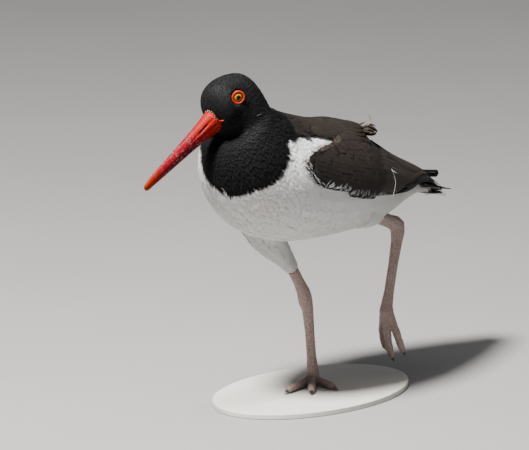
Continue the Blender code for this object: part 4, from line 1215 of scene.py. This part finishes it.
def loose_feathers():
    """Single feathers out of place: the ruffled tuft on the back, a shaft on the wing, and stray barbs."""
    brown = (
        (((-20.1, 186.5, 14.9), (-23.0, 189.3, 17.2), (-25.3, 190.7, 19.4)), LEVEL, 3.0, 0.7),
        (((-22.9, 186.5, 18.2), (-27.0, 189.0, 22.1), (-29.4, 188.1, 25.3)), UPRIGHT, 1.8, 0.8),
        (((-21.8, 185.5, 17.2), (-26.7, 187.2, 22.4), (-29.5, 184.1, 27.0)), UPRIGHT, 4.0, 0.6),
        (((-20.7, 184.5, 16.3), (-24.5, 183.1, 21.4), (-27.4, 182.5, 25.1), (-29.0, 183.8, 26.5)), UPRIGHT, 3.6, 0.6),
        (((-21.2, 185.2, 16.7), (-25.4, 185.5, 21.6), (-28.2, 183.2, 25.8)), UPRIGHT, 4.0, 0.6),
        (((-20.5, 185.8, 15.5), (-25.0, 188.1, 20.1), (-27.9, 186.2, 24.2)), LEVEL, 2.6, 0.7),
        (((-19.4, 185.2, 14.5), (-23.3, 184.1, 19.6), (-26.5, 183.8, 23.5)), LEVEL, 3.4, 0.6),
    )
    free_feathers("ruffled_tuft", brown, VANE, 0.35, BARBS, "plumage_brown")
    free_feathers("pale_spike", (
        (((-23.2, 185.8, 18.8), (-26.9, 190.0, 21.6), (-28.1, 192.8, 22.0), (-27.6, 196.9, 19.8)), LEVEL, 1.9, 0.8),
        (((-21.5, 184.6, 17.0), (-24.8, 183.4, 21.8), (-27.6, 183.2, 25.0)), LEVEL, 1.2, 0.8),
    ), VANE, 0.4, TAN, "plumage_brown")
    free_feathers("cheek_barb", (
        (((92.5, 214.2, 18.0), (90.0, 215.0, 18.7), (87.4, 215.6, 19.1)), UPRIGHT, 0.22, 0.5),
    ), VANE, 0.2, TAN, "plumage_brown")
    free_feathers("stray_barbs", (
        (((-21.6, 160.8, 46.6), (-24.4, 155.6, 46.8), (-25.6, 149.0, 46.9), (-21.2, 141.0, 48.0)), (0, 1, 0), 0.7, 0.6),
        (((-22.2, 159.6, 46.7), (-24.6, 158.4, 46.9), (-27.6, 156.8, 46.8)), (0, 1, 0), 0.5, 0.6),
        (((112.8, 164.3, 3.3), (111.9, 161.5, 6.0), (110.2, 157.5, 6.9)), (0, 1, 0), 0.6, 0.7),
        (((112.4, 161.6, 4.6), (111.4, 158.8, 6.2), (110.6, 157.9, 8.0)), (0, 1, 0), 0.5, 0.7),
    ), VANE, 0.3, PALE, "plumage_white")


def bill_piece(name, upper):
    """Half of the bill: an oval loft parted at the mouth, with its groove and nostril pressed in."""
    turns, lengths = 112, 170
    slope = (MOUTH[1][1] - MOUTH[0][1]) / (MOUTH[1][0] - MOUTH[0][0])
    slit_slope = (NOSTRIL[1][1] - NOSTRIL[0][1]) / (NOSTRIL[1][0] - NOSTRIL[0][0])
    rings, shares, slit_and_mouth_shades = [], [], []
    for i in range(lengths + 1):
        along, top, bottom, half = smooth(BILL, i / lengths * (len(BILL) - 1))
        line = MOUTH[0][1] + slope * (along - MOUTH[0][0])
        slit_line = NOSTRIL[0][1] + slit_slope * (along - NOSTRIL[0][0])
        middle, reach = (top + bottom) / 2, (top - bottom) / 2
        fade = float(ease(18, 24, along) * (1 - ease(40, 56, along)))
        open_share = float(ease(26.0, 28.5, along) * (1 - ease(33.5, 36.0, along)))
        base_share = 1 - float(ease(36, 62, along))
        ring = []
        for k in range(turns):
            angle = 2 * math.pi * k / turns
            above, left = middle + reach * math.sin(angle), half * math.cos(angle)
            groove = 0.6 * fade * math.exp(-(((above - slit_line) / 1.1) ** 2))
            slit = open_share * math.exp(-(((above - slit_line) / 0.5) ** 2))
            lip = math.exp(-(((above - line) / 0.45) ** 2))
            swell = 0.28 * base_share * math.exp(-(((above - line + (1.5 if not upper else -1.3)) / 0.7) ** 2))
            press = groove + 1.3 * slit + (0.12 + 0.4 * base_share) * lip - swell
            left -= math.copysign(min(press, abs(left)), left)
            above = max(above, line + 0.1) if upper else min(above, line - 0.1)
            ring.append(in_head(along, above, left))
            # The dark attribute: painted shade in the nostril slit and along the mouth line.
            slit_and_mouth_shades.append(min(1.0, max(slit, (0.35 + 0.5 * base_share) * lip)))
        rings.append(ring)
        shares += [(along - BILL[0][0]) / (BILL[-1][0] - BILL[0][0])] * turns
    made = grid_mesh(name + "_horn", rings, HORN)
    mesh = made.data
    for title, values in (("along", shares + [0.0, 1.0]), ("dark", slit_and_mouth_shades + [0.0, 0.0]),
                          ("low", [0.0 if upper else 1.0] * len(mesh.vertices))):
        mesh.attributes.new(title, "FLOAT", "POINT").data.foreach_set("value", values)
    return finish_piece(made, "bill_red", name)


GAPE = ((21.6, -9.0, 5.8, 0.8), (20.1, -8.9, 7.0, 1.15), (19.2, -8.8, 9.0, 0.9), (18.3, -8.4, 11.8, 0.3))


def gape(word, side, form):
    """The strip of bare red skin that runs from the mouth's corner over the cheek."""
    rings = []
    for i in range(15):
        along, above, left, half = smooth(GAPE, i / 14 * (len(GAPE) - 1))
        spot, normal = form.nearest(in_head(along, above, side * left))
        up = in_head(0, 1, 0) - in_head(0, 0, 0)
        ring = []
        for k in range(12):
            turn = 2 * math.pi * k / 12
            ring.append(Vector(spot) + up * (half * math.cos(turn)) + Vector(normal) * (0.55 * MM * math.sin(turn)))
        rings.append(ring)
    made = grid_mesh("gape_" + word, rings, HORN)
    for title in ("along", "dark", "low"):
        made.data.attributes.new(title, "FLOAT", "POINT")
    finish_piece(made, "bill_red")


def eye_frame(side):
    centre = in_head(-EYE_BACK, -EYE_LOW, side * EYE_SIDE)
    level = math.cos(EYE_RAISE)
    ahead, up, out = level * math.sin(EYE_AHEAD), math.sin(EYE_RAISE), level * math.cos(EYE_AHEAD)
    return centre, (in_head(ahead - EYE_BACK, up - EYE_LOW, side * (EYE_SIDE + out)) - centre).normalized()


IRIS_RADIUS = 3.45


def eye(word, side):
    """Eyeball with its iris and pupil marked by how far each point lies from the line of sight, and the lid."""
    centre, look = eye_frame(side)
    turn = look.to_track_quat("Z", "Y").to_matrix().to_4x4()
    shape = bmesh.new()
    bmesh.ops.create_uvsphere(shape, u_segments=64, v_segments=48, radius=EYE_RADIUS * MM)
    down_front = (turn.inverted() @ (in_head(1.0, -1.3, 0) - in_head(0, 0, 0)).normalized()).normalized()
    marks = []
    for vertex in shape.verts:
        out = vertex.co.xy.length
        away = out / (IRIS_RADIUS * MM)
        lean = max(0.0, (vertex.co.x * down_front.x + vertex.co.y * down_front.y) / (out + 1e-9))
        away -= 0.17 * lean**6 * float(away < 0.6)
        marks.append(away if vertex.co.z > 0 else 1.0)
        if vertex.co.z > 0:
            vertex.co.z += 0.25 * MM * math.exp(-((out / (2.4 * MM)) ** 2))
    mesh = bpy.data.meshes.new("eyeball_" + word)
    shape.to_mesh(mesh)
    shape.free()
    mesh.attributes.new("out", "FLOAT", "POINT").data.foreach_set("value", marks)
    mesh.transform(Matrix.Translation(centre) @ turn)
    mesh.shade_smooth()
    finish_piece(add_mesh("eyeball_" + word, mesh, EYE), "iris_yellow", "eye_" + word)
    rings = []
    for k in range(96):
        angle = 2 * math.pi * k / 96
        tube = LID_TUBE * (1 + 0.05 * math.sin(9 * angle) + 0.04 * math.sin(17 * angle + 1))
        ring = []
        for j in range(20):
            roll = 2 * math.pi * j / 20
            thick = tube * (1 + 0.08 * math.sin(3 * roll))
            away = LID_RING + thick * math.cos(roll)
            rise = LID_PLANE - (0.5 if side < 0 else 0.0) + thick * math.sin(roll)
            spot = Vector((away * math.cos(angle), away * math.sin(angle), rise))
            ring.append(Matrix.Translation(centre) @ turn @ (spot * MM))
        rings.append(ring)
    lid = grid_mesh("lid_" + word, rings + [rings[0]], LID, caps=False)
    finish_piece(lid, "eyelid_red", "eyelid_" + word)


def leg(word):
    """Bare leg and foot in one scaly surface, with the claws apart."""
    shape = bmesh.new()
    nodes = [f"{part}_{word}" for part in ("shank", "tarsus", "foot")]
    for name in nodes:
        shape.from_mesh(NODES[name].data)
    bmesh.ops.remove_doubles(shape, verts=shape.verts, dist=1e-6)
    shape.normal_update()
    for vertex in shape.verts:
        vertex.co += vertex.normal * 0.18 * MM
    mesh = bpy.data.meshes.new("leg_" + word)
    shape.to_mesh(mesh)
    shape.free()
    made = add_mesh("leg_" + word, remeshed(mesh, 0.45 * MM, 6), LEG)
    made.data.shade_smooth()
    finish_piece(made, "leg_pink", *nodes)
    for toe in ("inner", "middle", "outer"):
        name = f"claw_{word}_{toe}"
        horn = add_mesh(name + "_horn", NODES[name].data.copy(), None)
        horn.data.materials.clear()
        horn.data.materials.append(CLAW)
        soft = horn.modifiers.new("soft", "SUBSURF")
        soft.levels = soft.render_levels = 2
        finish_piece(horn, "claw_dark", name)


def tail_material(name, turn):
    """White to a share of the feather, turn, and brown beyond it."""
    made, tree, shader = new_material(name)
    where = node(tree, "ShaderNodeUVMap", uv_map="Vane")
    split = tree.nodes.new("ShaderNodeSeparateXYZ")
    tree.links.new(where.outputs["UV"], split.inputs["Vector"])
    along = arithmetic(tree, "ADD", split.outputs["Y"], arithmetic(tree, "MULTIPLY", object_noise(tree, 300.0), 0.08))
    white, tan, dark = (0.66, 0.64, 0.61), (0.22, 0.15, 0.10), (0.020, 0.014, 0.010)
    colour = ramp(tree, along, (
        (0.0, white), (turn, white), (turn + 0.03, tan), (turn + 0.09, dark), (1.0, (0.030, 0.021, 0.015)),
    ))
    tree.links.new(colour, shader.inputs["Base Color"])
    shader.inputs["Roughness"].default_value = 0.6
    return made


FRINGE = plumage("plumage_fringe", (0.045, 0.036, 0.030), (0.13, 0.105, 0.088), 0.7, 0.1)
TAN = plumage("plumage_tan", (0.075, 0.053, 0.038), (0.22, 0.17, 0.125), 0.7, 0.1)
PALE = plumage("plumage_pale", (0.34, 0.31, 0.28), (0.62, 0.60, 0.57), 0.7, 0.2)

# Layers of the tail from the top: how much of each shows before it turns from white to brown.
TAIL_TURNS = (0.50, 0.80, 0.42, 0.72, 0.36, 0.42)


# Edges of the outer tail feathers on the left, from the top one down.
TAIL_EDGES = (
    ("tail_edge_tan", TAN, ((-98.5, 130.5, 10.8), (-106.5, 128.9, 11.9), (-113.8, 127.1, 13.0)), 0.9),
    ("tail_edge_white", PALE, ((-98, 129.4, 10.6), (-107.5, 127.8, 11.8), (-116.7, 125.9, 13.2)), 1.6),
    ("tail_edge_brown", BARBS, ((-101.5, 127.5, 11.1), (-110, 126.2, 12.3), (-118.7, 124.7, 13.5)), 1.4),
    ("tail_edge_pale", PALE, ((-98, 126.7, 10.6), (-106.5, 125.5, 11.7), (-115, 124.2, 13.0)), 1.1),
    ("tail_edge_dark", BARBS, ((-105, 125.4, 11.8), (-112, 124.0, 12.6), (-119.2, 122.3, 13.5)), 2.1),
)


def tail():
    """Long tail feathers in overlapping pairs, white at the root and brown at the tip, with edges of their own."""
    for i, turn in enumerate(TAIL_TURNS):
        feathers = []
        for side in (-1, 1):
            drop = 0.70 * (i + (0.5 if side < 0 else 0.0))
            start = (-99, 128.6 - drop, side * (1.0 + 1.1 * i))
            middle = (-115, 125.2 - drop, side * (1.1 + 1.45 * i))
            end = (-131 + 0.9 * i, 121.8 - 0.92 * drop, side * (1.2 + 1.9 * i))
            feathers.append(((start, middle, end), LEVEL, 8.6, 0.14))
        paint = tail_material(f"plumage_tail_{i}", turn)
        free_feathers(f"tail_feathers_{i}", feathers, VANE, 0.4, paint, "plumage_white")
    for name, paint, path, width in TAIL_EDGES:
        free_feathers(name, ((path, UPRIGHT, width, 0.35),), VANE, 0.4, paint, "plumage_brown")


back, right = make_camera()
make_lights(back, right)
make_floor()

form_mesh = remeshed(flesh_mesh(), SKIN_VOXEL, 10)
body_form = Form(form_mesh)
skin_piece(form_mesh)
for word, side, seed in (("left", 1, 40), ("right", -1, 60)):
    wing(word, side, seed)
    edge_wisps(word, side, seed + 7)
    fan_lines(word, side)
beds = joined([bpy.data.objects[f"{bed_name}_{word}"].data
               for bed_name in ("wing_bed", "mantle_bed") for word in ("left", "right")])[0]
coat(body_form, beds)
wing_tips()
loose_feathers()
tail()
horns = [bill_piece("bill_upper", True), bill_piece("bill_lower", False)]
bill_border([Form(horn.data) for horn in horns])
for word, side in (("left", 1), ("right", -1)):
    gape(word, side, body_form)
    eye(word, side)
    leg(word)
NODES["stand_base"].data.materials.clear()
NODES["stand_base"].data.materials.append(base_material())
